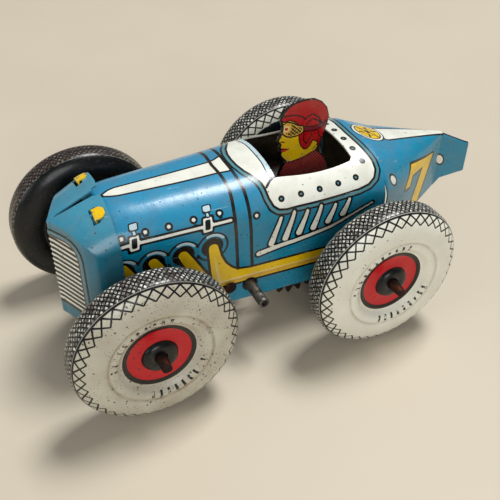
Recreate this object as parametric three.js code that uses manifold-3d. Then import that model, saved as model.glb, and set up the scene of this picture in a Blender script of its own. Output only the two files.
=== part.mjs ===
// Clockwork tin racing car with a flat printed driver, about 138 mm long.
// Millimetres, +Z up, +X towards the nose, +Y towards the car's left side.
// The origin is on the ground under the middle of the car.

import * as THREE from 'three';
import { mergeVertices } from 'three/addons/utils/BufferGeometryUtils.js';
import Module from 'manifold-3d';

const wasm = await Module();
wasm.setup();

// ---- driving dimensions ----

const TYRE_RADIUS = 22;
const TYRE_SIDES = 24;
const TYRE_HALF_WIDTH = 5.9;
const TREAD_BAND = 1.6;
const SHEET = 0.5;
const GAP = 0.3;
const HALF_FACET = Math.PI / TYRE_SIDES;
const AXLE_HEIGHT = TYRE_RADIUS * Math.cos(HALF_FACET);
const FRONT_AXLE_X = 47.1;
const REAR_AXLE_X = -18.3;
const FRONT_HALF_TRACK = 29.4;
const REAR_HALF_TRACK = 30.9;
const AXLE_RADIUS = 1.4;
const AXLE_PROJECTION = 9.4;
const AXLE_CLEARANCE = 0.35;
const TAIL_END_X = -(FRONT_AXLE_X + TYRE_RADIUS * Math.cos(HALF_FACET));

const BODY_BOTTOM = 13.8;
const TAIL_BOTTOM = 20.6;
const FIN_BOTTOM = 22.6;
const SEAM_X = -26.4;
const FIN_START_X = -57;
const HOOD_FRONT_X = 52.8;
const CAP_REAR_X = 48.8;
const CAP_BOTTOM = 14.2;
const CREASE_X = 62.8;
const COCKPIT_FRONT_X = 4.8;
const COCKPIT_REAR_X = -18.8;
const COCKPIT_FRONT_HALF_WIDTH = 10.4;
const COCKPIT_REAR_HALF_WIDTH = 10.8;
const COCKPIT_BOW_HALF_WIDTH = 12.2;
const COCKPIT_CORNER_CUT = 1.2;
const SECTION_POWER = 2.3;

const MODULE_MM = 1;
const GREAT_TEETH = 24;
const IDLER_PINION_TEETH = 10;
const IDLER_TEETH = 22;
const AXLE_PINION_TEETH = 11;
const ARBOR_X = 14.65;
const ARBOR_HEIGHT = 18.5;
const ARBOR_RADIUS = 1.5;
const PLATE_INNER = 13.4;
const PLATE_SHEET = 0.8;
const PLATE_OUTER = PLATE_INNER + PLATE_SHEET;

// ---- finishes ----

function finish(colour, roughness, metalness) {
  return new THREE.MeshStandardMaterial({ color: colour, roughness, metalness });
}

const BLUE_PRINT = [0x3f8fb5, 0.35, 0.2];
const WHITE_PRINT = [0xe9e8df, 0.4, 0.1];
const BLACK_ENAMEL = [0x121214, 0.2, 0.2];
const DRIVER_PRINT = [0xb3202a, 0.35, 0.1];
const MOTOR_STEEL = [0x6f6a63, 0.5, 0.9];
const DARK_STEEL = [0x3b342d, 0.55, 0.85];
const AXLE_STEEL = [0x54483f, 0.55, 0.85];
const GEAR_BRASS = [0x8d7a48, 0.45, 0.9];

const group = new THREE.Group();

function addPart(name, geometry, look) {
  const part = new THREE.Mesh(geometry, finish(...look));
  part.name = name;
  group.add(part);
  return part;
}

// ---- solids ----

function solidFrom(geometry) {
  const bare = geometry.clone();
  bare.deleteAttribute('normal');
  bare.deleteAttribute('uv');
  const merged = mergeVertices(bare, 1e-4);
  const vertProperties = new Float32Array(merged.attributes.position.array);
  const triVerts = new Uint32Array(merged.index.array);
  return new wasm.Manifold(new wasm.Mesh({ numProp: 3, vertProperties, triVerts }));
}

function geometryFrom(solid) {
  const mesh = solid.getMesh();
  const geometry = new THREE.BufferGeometry();
  geometry.setAttribute('position', new THREE.BufferAttribute(mesh.vertProperties, 3));
  geometry.setIndex(new THREE.BufferAttribute(mesh.triVerts, 1));
  return geometry;
}

// A solid through rings of points: every ring has as many points, listed the same way round.
function loft(rings) {
  const count = rings[0].length;
  const positions = rings.flat(2);
  const index = [];
  for (let ring = 0; ring < rings.length - 1; ring += 1) {
    for (let point = 0; point < count; point += 1) {
      const next = (point + 1) % count;
      const a = ring * count + point;
      const b = ring * count + next;
      index.push(a, a + count, b);
      index.push(b, a + count, b + count);
    }
  }
  const last = (rings.length - 1) * count;
  for (let point = 1; point < count - 1; point += 1) {
    index.push(0, point, point + 1);
    index.push(last, last + point + 1, last + point);
  }
  const geometry = new THREE.BufferGeometry();
  geometry.setAttribute('position', new THREE.Float32BufferAttribute(positions, 3));
  geometry.setIndex(index);
  return geometry;
}

// A plate drawn in X and Z, its thickness running from one Y to another.
function plateAlongY(shape, fromY, toY, curveSegments = 6) {
  const depth = toY - fromY;
  const geometry = new THREE.ExtrudeGeometry(shape, { depth, bevelEnabled: false, curveSegments });
  return geometry.rotateX(Math.PI / 2).translate(0, toY, 0);
}

function plateAlongZ(shape, fromZ, toZ, curveSegments = 6) {
  const depth = toZ - fromZ;
  const geometry = new THREE.ExtrudeGeometry(shape, { depth, bevelEnabled: false, curveSegments });
  return geometry.translate(0, 0, fromZ);
}

// A straight-sided outline, always listed anticlockwise so that its holes can run clockwise.
function polygon(outline) {
  const points = outline.map(([a, b]) => new THREE.Vector2(a, b));
  if (THREE.ShapeUtils.isClockWise(points)) {
    points.reverse();
  }
  return new THREE.Shape(points);
}

function roundHole(shape, x, z, radius) {
  const hole = new THREE.Path();
  hole.absarc(x, z, radius, 0, Math.PI * 2, true);
  shape.holes.push(hole);
}

function rodAlongY(radius, fromY, toY, x, z, sides = 12) {
  const rod = new THREE.CylinderGeometry(radius, radius, toY - fromY, sides);
  return rod.translate(x, (fromY + toY) / 2, z);
}

function box(fromX, toX, fromY, toY, fromZ, toZ) {
  const block = new THREE.BoxGeometry(toX - fromX, toY - fromY, toZ - fromZ);
  return block.translate((fromX + toX) / 2, (fromY + toY) / 2, (fromZ + toZ) / 2);
}

// A turned piece about an axis along Y: the profile lists [radius, y], either way round, and
// closes on itself.
function turnedAlongY(profile, x, z, sides, startAngle = 0) {
  const points = profile.map(([radius, y]) => new THREE.Vector2(radius, y));
  if (THREE.ShapeUtils.isClockWise(points)) {
    points.reverse();
  }
  points.push(points[0]);
  const geometry = new THREE.LatheGeometry(points, sides, startAngle);
  return geometry.translate(x, 0, z);
}

// ---- body shell ----

// Each station: x, half-width, crown height, depth of the rounded shoulder.
const bodyStations = [
  { x: HOOD_FRONT_X, halfWidth: 13.2, crown: 46.9, shoulder: 11.5 },
  { x: 48.6, halfWidth: 13.6, crown: 48.0, shoulder: 12 },
  { x: 46, halfWidth: 14.2, crown: 48.0, shoulder: 12 },
  { x: 34, halfWidth: 15.1, crown: 48.1, shoulder: 12 },
  { x: 22, halfWidth: 15.9, crown: 48.2, shoulder: 12 },
  { x: 12, halfWidth: 16.5, crown: 48.5, shoulder: 12 },
  { x: 4, halfWidth: 17.0, crown: 49.2, shoulder: 12.8 },
  { x: -4, halfWidth: 17.5, crown: 48.2, shoulder: 12.2 },
  { x: -13, halfWidth: 17.9, crown: 47.8, shoulder: 12 },
  { x: -21, halfWidth: 18.2, crown: 48.0, shoulder: 12 },
  { x: SEAM_X, halfWidth: 18.1, crown: 47.6, shoulder: 11.8 },
  { x: -35.5, halfWidth: 13.4, crown: 44.2, shoulder: 9.5 },
  { x: -46, halfWidth: 7.3, crown: 42.0, shoulder: 6.5 },
  { x: FIN_START_X, halfWidth: 1.1, crown: 39.6, shoulder: 1.5 },
  { x: TAIL_END_X + 2, halfWidth: 0.8, crown: 34.0, shoulder: 1 },
  { x: TAIL_END_X, halfWidth: 0.8, crown: 33.0, shoulder: 1 },
];

// An arch: straight walls up to the shoulder, then a superellipse over the crown.
function archRing(x, halfWidth, crown, shoulder, bottom, steps) {
  const ring = [[x, halfWidth, bottom]];
  for (let step = 0; step <= 2 * steps; step += 1) {
    const angle = (step / (2 * steps)) * Math.PI;
    const across = Math.sign(Math.cos(angle)) * Math.abs(Math.cos(angle)) ** (2 / SECTION_POWER);
    const up = Math.abs(Math.sin(angle)) ** (2 / SECTION_POWER);
    ring.push([x, halfWidth * across, crown - shoulder + shoulder * up]);
  }
  ring.push([x, -halfWidth, bottom]);
  return ring;
}

const ARCH_STEPS = 6;

function bodyRings(inset, bottom, stations) {
  return stations.map(({ x, halfWidth, crown, shoulder }) => (
    archRing(x, halfWidth - inset, crown - inset, shoulder, bottom, ARCH_STEPS)
  ));
}

function bodyHollow() {
  const open = bodyStations.filter(({ x }) => x > FIN_START_X);
  const front = { ...open[0], x: HOOD_FRONT_X + 1 };
  const pinch = { x: FIN_START_X + 2, halfWidth: SHEET + 0.1, crown: 39.4, shoulder: 1.5 };
  return loft(bodyRings(SHEET, BODY_BOTTOM - 5, [front, ...open, pinch]));
}

// The opening seen from above: a straight front edge, bowed sides and a rear edge with cut corners.
function cockpitCut() {
  const bowX = (COCKPIT_FRONT_X + COCKPIT_REAR_X) / 2 - 1;
  const cornerX = COCKPIT_REAR_X + 1;
  const cornerY = COCKPIT_REAR_HALF_WIDTH - COCKPIT_CORNER_CUT;
  const shape = new THREE.Shape();
  shape.moveTo(COCKPIT_FRONT_X, -COCKPIT_FRONT_HALF_WIDTH);
  shape.lineTo(COCKPIT_FRONT_X, COCKPIT_FRONT_HALF_WIDTH);
  shape.quadraticCurveTo(bowX, COCKPIT_BOW_HALF_WIDTH, cornerX, COCKPIT_REAR_HALF_WIDTH);
  shape.lineTo(COCKPIT_REAR_X, cornerY);
  shape.lineTo(COCKPIT_REAR_X, -cornerY);
  shape.lineTo(cornerX, -COCKPIT_REAR_HALF_WIDTH);
  shape.quadraticCurveTo(bowX, -COCKPIT_BOW_HALF_WIDTH, COCKPIT_FRONT_X, -COCKPIT_FRONT_HALF_WIDTH);
  return plateAlongZ(shape, 36, 60, 5);
}

// The dart where the tail side was folded in: a narrow slit with a triangle at its top.
function dartCut(side) {
  const slit = polygon([
    [SEAM_X - 0.35, TAIL_BOTTOM - 12],
    [SEAM_X + 0.35, TAIL_BOTTOM - 12],
    [SEAM_X + 1.4, 36.5],
    [SEAM_X + 0.9, 42.2],
    [SEAM_X - 0.2, 36],
  ]);
  return side > 0 ? plateAlongY(slit, 12, 24) : plateAlongY(slit, -24, -12);
}

const TAB_X = 52;
const TAB_Y = 7.2;
const TAB_HEIGHT = 47.85;
const TAB_WIDTH = 3.6;
const TAB_LENGTH = 3.4;
const TAB_SHEET = 0.45;
const TAB_RISER = 2.6;
const TAB_ROLL = 0.32;
const TAB_PITCH = 0.31;

// The bent fixing tab: a riser through the nose cap and a tongue folded back over it, both
// tilted to lie along the cap's curved top.
function noseTab(side) {
  const half = TAB_WIDTH / 2;
  const riser = box(-TAB_SHEET, 0, -half, half, -TAB_RISER, 0);
  const tongue = box(-TAB_LENGTH, 0, -half, half, -TAB_SHEET, 0);
  const place = (piece) => {
    piece.rotateY(TAB_PITCH).rotateX(-side * TAB_ROLL);
    return solidFrom(piece.translate(TAB_X, side * TAB_Y, TAB_HEIGHT));
  };
  return place(riser).add(place(tongue));
}

const RIVET_X = 20.7;
const RIVET_HEIGHT = 19.4;
const RIVET_RADIUS = 1.1;

function buildBodyShell() {
  let shell = solidFrom(loft(bodyRings(0, BODY_BOTTOM, bodyStations)));
  shell = shell.subtract(solidFrom(bodyHollow()));
  shell = shell.subtract(solidFrom(cockpitCut()));
  const underTail = box(TAIL_END_X - 5, SEAM_X, -25, 25, 0, TAIL_BOTTOM);
  shell = shell.subtract(solidFrom(underTail));
  const underFin = box(TAIL_END_X - 5, FIN_START_X - 2, -25, 25, 0, FIN_BOTTOM);
  shell = shell.subtract(solidFrom(underFin));
  for (const side of [1, -1]) {
    shell = shell.subtract(solidFrom(dartCut(side)));
    shell = shell.add(noseTab(side));
  }
  const axleHole = AXLE_RADIUS + AXLE_CLEARANCE;
  for (const axleX of [FRONT_AXLE_X, REAR_AXLE_X]) {
    shell = shell.subtract(solidFrom(rodAlongY(axleHole, -25, 25, axleX, AXLE_HEIGHT)));
  }
  const rivetHole = RIVET_RADIUS + AXLE_CLEARANCE;
  shell = shell.subtract(solidFrom(rodAlongY(rivetHole, -25, 25, RIVET_X, RIVET_HEIGHT)));
  const stemHole = ARBOR_RADIUS + 0.8;
  shell = shell.subtract(solidFrom(rodAlongY(stemHole, 5, 25, ARBOR_X, ARBOR_HEIGHT)));
  return geometryFrom(shell);
}

addPart('body_shell', buildBodyShell(), BLUE_PRINT);

// ---- nose cap ----

const CAP_HALF_WIDTH = 14.7;
const CAP_CROWN_REAR = 49.3;
const CAP_CROWN_FRONT = 44.9;

function capPlan(inset) {
  const half = [
    [CAP_REAR_X - 4 * inset, CAP_HALF_WIDTH - inset],
    [54.2, CAP_HALF_WIDTH - 0.3 - inset],
    [56.2 - inset / 2, 13.3 - inset],
    [57.4 - inset, 11.7 - inset / 2],
  ];
  const mirrored = half.map(([x, y]) => [x, -y]).reverse();
  return polygon([...half, [CREASE_X - 1.15 * inset, 0], ...mirrored]);
}

function capArch(inset) {
  const rear = archRing(
    CAP_REAR_X - 4 * inset, CAP_HALF_WIDTH + 0.6 - inset,
    CAP_CROWN_REAR - inset, 12, 0, ARCH_STEPS,
  );
  const front = archRing(
    CREASE_X + 2, CAP_HALF_WIDTH + 0.6 - inset,
    CAP_CROWN_FRONT - 0.7 - inset, 11, 0, ARCH_STEPS,
  );
  return loft([front, rear]);
}

function capSolid(inset, fromZ) {
  const plan = solidFrom(plateAlongZ(capPlan(inset), fromZ, 60));
  return plan.intersect(solidFrom(capArch(inset)));
}

function buildNoseCap() {
  let cap = capSolid(0, CAP_BOTTOM).subtract(capSolid(SHEET, CAP_BOTTOM - 5));
  const centreSlit = box(CAP_REAR_X + 3.4, CREASE_X - 2.5, -0.45, 0.45, 40, 60);
  cap = cap.subtract(solidFrom(centreSlit));
  for (const side of [1, -1]) {
    const middle = side * (TAB_Y - 0.3);
    const reach = TAB_WIDTH / 2 + 2 * GAP;
    const slot = box(TAB_X - 3 * TAB_SHEET, TAB_X + GAP, middle - reach, middle + reach, 40, 60);
    cap = cap.subtract(solidFrom(slot));
  }
  return geometryFrom(cap);
}

addPart('nose_cap', buildNoseCap(), BLUE_PRINT);

// ---- driver ----

const DRIVER_SHEET = 0.5;
const SEAT_HEIGHT = 33.2;
const FOOT_REAR_X = -11.4;
const FOOT_FRONT_X = -8.4;
const SHOULDER_HEIGHT = 35.5;

// The flat figure: shirt, chin, face, helmet and the back of the neck, with a fixing tab below.
function driverShape() {
  const shape = new THREE.Shape();
  shape.moveTo(-16.5, SHOULDER_HEIGHT);
  shape.lineTo(FOOT_REAR_X, SHOULDER_HEIGHT);
  shape.lineTo(FOOT_REAR_X, SEAT_HEIGHT - 2 * PLATE_SHEET);
  shape.lineTo(FOOT_FRONT_X, SEAT_HEIGHT - 2 * PLATE_SHEET);
  shape.lineTo(FOOT_FRONT_X, SHOULDER_HEIGHT);
  shape.lineTo(-1.2, SHOULDER_HEIGHT);
  shape.quadraticCurveTo(-1.0, 40.5, -4.2, 44.2);
  shape.quadraticCurveTo(-2.5, 44.6, -2.0, 46.2);
  shape.quadraticCurveTo(-0.9, 47.4, -1.8, 48.6);
  shape.lineTo(-0.5, 50.6);
  shape.quadraticCurveTo(-1.8, 53.6, -1.9, 56.0);
  shape.quadraticCurveTo(-4.0, 61.4, -10.6, 61.4);
  shape.quadraticCurveTo(-17.6, 61.0, -18.0, 55.0);
  shape.quadraticCurveTo(-18.2, 50.6, -15.2, 47.0);
  shape.quadraticCurveTo(-15.6, 44.8, -15.3, 44.4);
  shape.quadraticCurveTo(-18.4, 40.6, -18.0, 37.2);
  shape.lineTo(-16.5, SHOULDER_HEIGHT);
  return shape;
}

const driver = plateAlongY(driverShape(), -DRIVER_SHEET / 2, DRIVER_SHEET / 2, 5);
addPart('driver_figure', driver, DRIVER_PRINT);

const SEAT_REAR_X = -14.5;
const SEAT_FRONT_X = -4.5;

// A cross strip from plate to plate, slotted for the driver's fixing tab.
function seatShape() {
  const shape = polygon([
    [SEAT_REAR_X, -PLATE_OUTER],
    [SEAT_FRONT_X, -PLATE_OUTER],
    [SEAT_FRONT_X, PLATE_OUTER],
    [SEAT_REAR_X, PLATE_OUTER],
  ]);
  const reach = DRIVER_SHEET / 2 + GAP;
  shape.holes.push(new THREE.Path([
    new THREE.Vector2(FOOT_REAR_X - GAP, -reach),
    new THREE.Vector2(FOOT_REAR_X - GAP, reach),
    new THREE.Vector2(FOOT_FRONT_X + GAP, reach),
    new THREE.Vector2(FOOT_FRONT_X + GAP, -reach),
  ]));
  return shape;
}

const seatTop = SEAT_HEIGHT + PLATE_SHEET;
addPart('seat_bridge', plateAlongZ(seatShape(), SEAT_HEIGHT, seatTop), MOTOR_STEEL);

// ---- wheels ----

// Both halves are pressed sheet: a flat tread band, a round sidewall, a dished disc and a raised hub.
const SIDEWALL_STEPS = 4;
const SECTION_CENTRE_RADIUS = 14;
const DISC_RADIUS = 9.3;
const DISC_FACE = 3.9;
const HUB_RADIUS = 4.6;
const HUB_FACE = 5.3;
const HUB_BORE = AXLE_RADIUS + AXLE_CLEARANCE;

function wheelHalfProfile(inset, steps) {
  const tread = TYRE_RADIUS - inset;
  const bulge = TYRE_HALF_WIDTH - inset;
  const profile = [[tread, GAP / 2], [tread, TREAD_BAND]];
  for (let step = 1; step <= steps; step += 1) {
    const angle = (step / steps) * Math.PI * 0.62;
    const radius = SECTION_CENTRE_RADIUS + (tread - SECTION_CENTRE_RADIUS) * Math.cos(angle);
    profile.push([radius, TREAD_BAND + (bulge - TREAD_BAND) * Math.sin(angle)]);
  }
  profile.push([DISC_RADIUS, DISC_FACE - inset]);
  profile.push([HUB_RADIUS + 0.5, DISC_FACE - inset]);
  profile.push([HUB_RADIUS - 0.3 - inset / 2, HUB_FACE - inset]);
  profile.push([HUB_BORE, HUB_FACE + 0.2 - inset]);
  return profile;
}

function wheelHalf(axleX, plane, outwards) {
  const skin = wheelHalfProfile(0, SIDEWALL_STEPS);
  const lining = wheelHalfProfile(SHEET, SIDEWALL_STEPS - 2).reverse();
  const profile = [...skin, ...lining];
  const placed = profile.map(([radius, y]) => [radius, plane + outwards * y]);
  return turnedAlongY(placed, axleX, AXLE_HEIGHT, TYRE_SIDES, HALF_FACET);
}

const wheelPlaces = [
  { name: 'front_left', axleX: FRONT_AXLE_X, plane: FRONT_HALF_TRACK, side: 1 },
  { name: 'front_right', axleX: FRONT_AXLE_X, plane: -FRONT_HALF_TRACK, side: -1 },
  { name: 'rear_left', axleX: REAR_AXLE_X, plane: REAR_HALF_TRACK, side: 1 },
  { name: 'rear_right', axleX: REAR_AXLE_X, plane: -REAR_HALF_TRACK, side: -1 },
];

for (const { name, axleX, plane, side } of wheelPlaces) {
  addPart(`wheel_${name}_outer`, wheelHalf(axleX, plane, side), WHITE_PRINT);
  addPart(`wheel_${name}_inner`, wheelHalf(axleX, plane, -side), BLACK_ENAMEL);
}

// ---- axles ----

const EAR_SETBACK = 1.9;
const EAR_HALF_SPAN = 2.3;
const EAR_HALF_WIDTH = 0.8;
const EAR_HALF_SHEET = 0.5;

// A plain rod with a pair of pinched ears inboard of each wheel that hold the wheel out.
function buildAxle(axleX, halfTrack) {
  const end = halfTrack + AXLE_PROJECTION;
  let axle = solidFrom(rodAlongY(AXLE_RADIUS, -end, end, axleX, AXLE_HEIGHT));
  const earY = halfTrack - TYRE_HALF_WIDTH - EAR_SETBACK;
  for (const side of [1, -1]) {
    const ear = box(
      axleX - EAR_HALF_SPAN, axleX + EAR_HALF_SPAN,
      side * earY - EAR_HALF_WIDTH, side * earY + EAR_HALF_WIDTH,
      AXLE_HEIGHT - EAR_HALF_SHEET, AXLE_HEIGHT + EAR_HALF_SHEET,
    );
    axle = axle.add(solidFrom(ear));
  }
  return geometryFrom(axle);
}

addPart('front_axle', buildAxle(FRONT_AXLE_X, FRONT_HALF_TRACK), AXLE_STEEL);
addPart('rear_axle', buildAxle(REAR_AXLE_X, REAR_HALF_TRACK), AXLE_STEEL);

// ---- gears ----

const PRESSURE_ANGLE = (25 * Math.PI) / 180;
const BACKLASH = 0.22;
const ADDENDUM = 0.85 * MODULE_MM;
const DEDENDUM = 1.15 * MODULE_MM;
const FLANK_STEPS = 2;

function involute(angle) {
  return Math.tan(angle) - angle;
}

// Half the angle that a tooth takes up at a radius, for a true involute flank.
function halfToothAngle(teeth, radius) {
  const pitchRadius = (teeth * MODULE_MM) / 2;
  const baseRadius = pitchRadius * Math.cos(PRESSURE_ANGLE);
  const atPitch = (Math.PI * MODULE_MM - BACKLASH) / 4 / pitchRadius;
  const pressure = Math.acos(Math.min(1, baseRadius / radius));
  return atPitch + involute(PRESSURE_ANGLE) - involute(pressure);
}

// A gear outline in X and Z about its own centre, with the middle of one tooth at the phase angle.
function gearShape(teeth, phase, centre) {
  const pitchRadius = (teeth * MODULE_MM) / 2;
  const baseRadius = pitchRadius * Math.cos(PRESSURE_ANGLE);
  const tip = pitchRadius + ADDENDUM;
  const root = pitchRadius - DEDENDUM;
  const flankStart = Math.max(baseRadius, root + 0.05);
  const points = [];
  const place = (radius, angle) => {
    const x = centre.x + radius * Math.cos(angle);
    const z = centre.z + radius * Math.sin(angle);
    points.push(new THREE.Vector2(x, z));
  };
  for (let tooth = 0; tooth < teeth; tooth += 1) {
    const middle = phase + (tooth / teeth) * Math.PI * 2;
    place(root, middle - halfToothAngle(teeth, flankStart));
    for (let step = 0; step <= FLANK_STEPS; step += 1) {
      const radius = flankStart + (tip - flankStart) * (step / FLANK_STEPS);
      place(radius, middle - halfToothAngle(teeth, radius));
    }
    for (let step = FLANK_STEPS; step >= 0; step -= 1) {
      const radius = flankStart + (tip - flankStart) * (step / FLANK_STEPS);
      place(radius, middle + halfToothAngle(teeth, radius));
    }
    place(root, middle + halfToothAngle(teeth, flankStart));
  }
  return new THREE.Shape(points);
}

// The meshing gear's phase: where one has a tooth on the line of centres the other has a space.
function meshedPhase(teeth, phase, otherTeeth, from, to) {
  const line = Math.atan2(to.z - from.z, to.x - from.x);
  const turned = (phase - line) * (teeth / otherTeeth);
  return line + Math.PI + Math.PI / otherTeeth - turned;
}

const arborCentre = { x: ARBOR_X, z: ARBOR_HEIGHT };
const rearCentre = { x: REAR_AXLE_X, z: AXLE_HEIGHT };

// The idler stands below the line from the arbor to the rear axle, at both pitch distances.
function idlerPlace() {
  const toArbor = ((GREAT_TEETH + IDLER_PINION_TEETH) * MODULE_MM) / 2;
  const toAxle = ((IDLER_TEETH + AXLE_PINION_TEETH) * MODULE_MM) / 2;
  const acrossX = rearCentre.x - arborCentre.x;
  const acrossZ = rearCentre.z - arborCentre.z;
  const base = Math.hypot(acrossX, acrossZ);
  const along = (toArbor ** 2 - toAxle ** 2 + base ** 2) / (2 * base);
  const below = Math.sqrt(toArbor ** 2 - along ** 2);
  return {
    x: arborCentre.x + (along * acrossX - below * acrossZ) / base,
    z: arborCentre.z + (along * acrossZ + below * acrossX) / base,
  };
}

const idlerCentre = idlerPlace();
const idlerPhase = meshedPhase(AXLE_PINION_TEETH, 0, IDLER_TEETH, rearCentre, idlerCentre);
const greatPhase = meshedPhase(IDLER_PINION_TEETH, 0, GREAT_TEETH, idlerCentre, arborCentre);

const IDLER_ARBOR_RADIUS = 1;
const GREAT_WHEEL_Y = 6.5;
const WHEEL_SHEET = 1;
const CLICK_PIVOT_RADIUS = 8.2;
const CLICK_PIVOT_ANGLE = 2.2;
const CLICK_RIVET_RADIUS = 0.8;
const clickPivot = {
  x: arborCentre.x + CLICK_PIVOT_RADIUS * Math.cos(CLICK_PIVOT_ANGLE),
  z: arborCentre.z + CLICK_PIVOT_RADIUS * Math.sin(CLICK_PIVOT_ANGLE),
};

const axlePinion = gearShape(AXLE_PINION_TEETH, 0, rearCentre);
roundHole(axlePinion, rearCentre.x, rearCentre.z, HUB_BORE);
addPart('axle_pinion', plateAlongY(axlePinion, 10, 12.9), DARK_STEEL);

const idlerWheel = gearShape(IDLER_TEETH, idlerPhase, idlerCentre);
roundHole(idlerWheel, idlerCentre.x, idlerCentre.z, IDLER_ARBOR_RADIUS + GAP);
addPart('idler_wheel', plateAlongY(idlerWheel, 11, 11 + WHEEL_SHEET), DARK_STEEL);

const idlerPinion = gearShape(IDLER_PINION_TEETH, 0, idlerCentre);
roundHole(idlerPinion, idlerCentre.x, idlerCentre.z, IDLER_ARBOR_RADIUS + GAP);
addPart('idler_pinion', plateAlongY(idlerPinion, 5.6, 10.6), GEAR_BRASS);

const greatWheel = gearShape(GREAT_TEETH, greatPhase, arborCentre);
roundHole(greatWheel, arborCentre.x, arborCentre.z, ARBOR_RADIUS + AXLE_CLEARANCE);
roundHole(greatWheel, clickPivot.x, clickPivot.z, CLICK_RIVET_RADIUS + GAP);
const greatWheelFace = GREAT_WHEEL_Y + WHEEL_SHEET;
addPart('great_wheel', plateAlongY(greatWheel, GREAT_WHEEL_Y, greatWheelFace), DARK_STEEL);

addPart(
  'idler_arbor',
  rodAlongY(IDLER_ARBOR_RADIUS, GAP - PLATE_OUTER, PLATE_OUTER - GAP, idlerCentre.x, idlerCentre.z),
  AXLE_STEEL,
);

// ---- winding arbor, ratchet and click ----

const STEM_END_Y = 25;
const STEM_BORE_RADIUS = 0.75;
const STEM_BORE_DEPTH = 3;

function buildWindingArbor() {
  const rod = rodAlongY(ARBOR_RADIUS, -PLATE_OUTER - 0.4, STEM_END_Y, ARBOR_X, ARBOR_HEIGHT);
  const bore = rodAlongY(
    STEM_BORE_RADIUS, STEM_END_Y - STEM_BORE_DEPTH, STEM_END_Y + 1, ARBOR_X, ARBOR_HEIGHT,
  );
  return geometryFrom(solidFrom(rod).subtract(solidFrom(bore)));
}

addPart('winding_arbor', buildWindingArbor(), AXLE_STEEL);

const RATCHET_TEETH = 12;
const RATCHET_TIP = 4.6;
const RATCHET_ROOT = 3.7;
const RATCHET_FROM_Y = 5.1;
const RATCHET_TO_Y = 6.1;

// Saw teeth: each rises along a long slope and drops straight back to the root.
function ratchetShape() {
  const points = [];
  for (let tooth = 0; tooth < RATCHET_TEETH; tooth += 1) {
    const start = (tooth / RATCHET_TEETH) * Math.PI * 2;
    const end = ((tooth + 0.92) / RATCHET_TEETH) * Math.PI * 2;
    const corners = [[RATCHET_TIP, start], [RATCHET_ROOT, start + 0.04], [RATCHET_TIP, end]];
    for (const [radius, angle] of corners) {
      points.push(new THREE.Vector2(
        arborCentre.x + radius * Math.cos(angle),
        arborCentre.z + radius * Math.sin(angle),
      ));
    }
  }
  return new THREE.Shape(points);
}

const ratchet = ratchetShape();
roundHole(ratchet, arborCentre.x, arborCentre.z, ARBOR_RADIUS + GAP);
addPart('ratchet_wheel', plateAlongY(ratchet, RATCHET_FROM_Y, RATCHET_TO_Y), DARK_STEEL);

function clickFrame(along, out) {
  const c = Math.cos(CLICK_PIVOT_ANGLE);
  const s = Math.sin(CLICK_PIVOT_ANGLE);
  return [clickPivot.x + out * c - along * s, clickPivot.z + out * s + along * c];
}

const CLICK_EYE_RADIUS = 1.9;
const CLICK_NOSE_OUT = RATCHET_TIP + 0.35 - CLICK_PIVOT_RADIUS;

// The click: an eye round its rivet and an arm that reaches in to the ratchet teeth.
function clickShape() {
  const points = [
    clickFrame(1.6, 1.1),
    clickFrame(-1.2, 1.6),
    clickFrame(-1.9, -0.2),
    clickFrame(-1.2, -1.6),
    clickFrame(1.6, CLICK_NOSE_OUT + 0.15),
    clickFrame(3.4, CLICK_NOSE_OUT + 1.0),
    clickFrame(2.4, -0.4),
  ];
  const shape = polygon(points);
  roundHole(shape, clickPivot.x, clickPivot.z, CLICK_RIVET_RADIUS + GAP);
  return shape;
}

addPart('click_pawl', plateAlongY(clickShape(), RATCHET_FROM_Y, RATCHET_TO_Y), DARK_STEEL);

const clickRivet = turnedAlongY([
  [0, GREAT_WHEEL_Y + WHEEL_SHEET + 0.9],
  [0, RATCHET_FROM_Y - 0.7],
  [1.3, RATCHET_FROM_Y - 0.7],
  [1.3, RATCHET_FROM_Y - GAP],
  [CLICK_RIVET_RADIUS, RATCHET_FROM_Y - GAP],
  [CLICK_RIVET_RADIUS, GREAT_WHEEL_Y + WHEEL_SHEET + GAP],
  [1.3, GREAT_WHEEL_Y + WHEEL_SHEET + GAP],
  [1.3, GREAT_WHEEL_Y + WHEEL_SHEET + 0.9],
], clickPivot.x, clickPivot.z, 12);
addPart('click_rivet', clickRivet, GEAR_BRASS);

// A bent leaf that presses on the back of the click.
const clickSpring = plateAlongY(polygon([
  clickFrame(-4.4, 0.2),
  clickFrame(-2.4, 2.6),
  clickFrame(2.8, 1.5),
  clickFrame(2.8, 1.8),
  clickFrame(-2.5, 3.0),
  clickFrame(-4.8, 0.4),
]), RATCHET_FROM_Y + 0.1, RATCHET_TO_Y - 0.1);
addPart('click_spring', clickSpring, MOTOR_STEEL);

// ---- mainspring ----

const SPRING_TURNS = 5;
const SPRING_INNER = 2.35;
const SPRING_OUTER = 9.4;
const SPRING_SHEET = 0.4;
const SPRING_FROM_Y = -5.6;
const SPRING_TO_Y = 4.1;
const SPRING_STEPS_PER_TURN = 14;
const pillarFrontTop = { x: ARBOR_X + 10.4, z: ARBOR_HEIGHT + 10.2 };
const SPRING_HOOK_RADIUS = 1.9;

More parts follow.
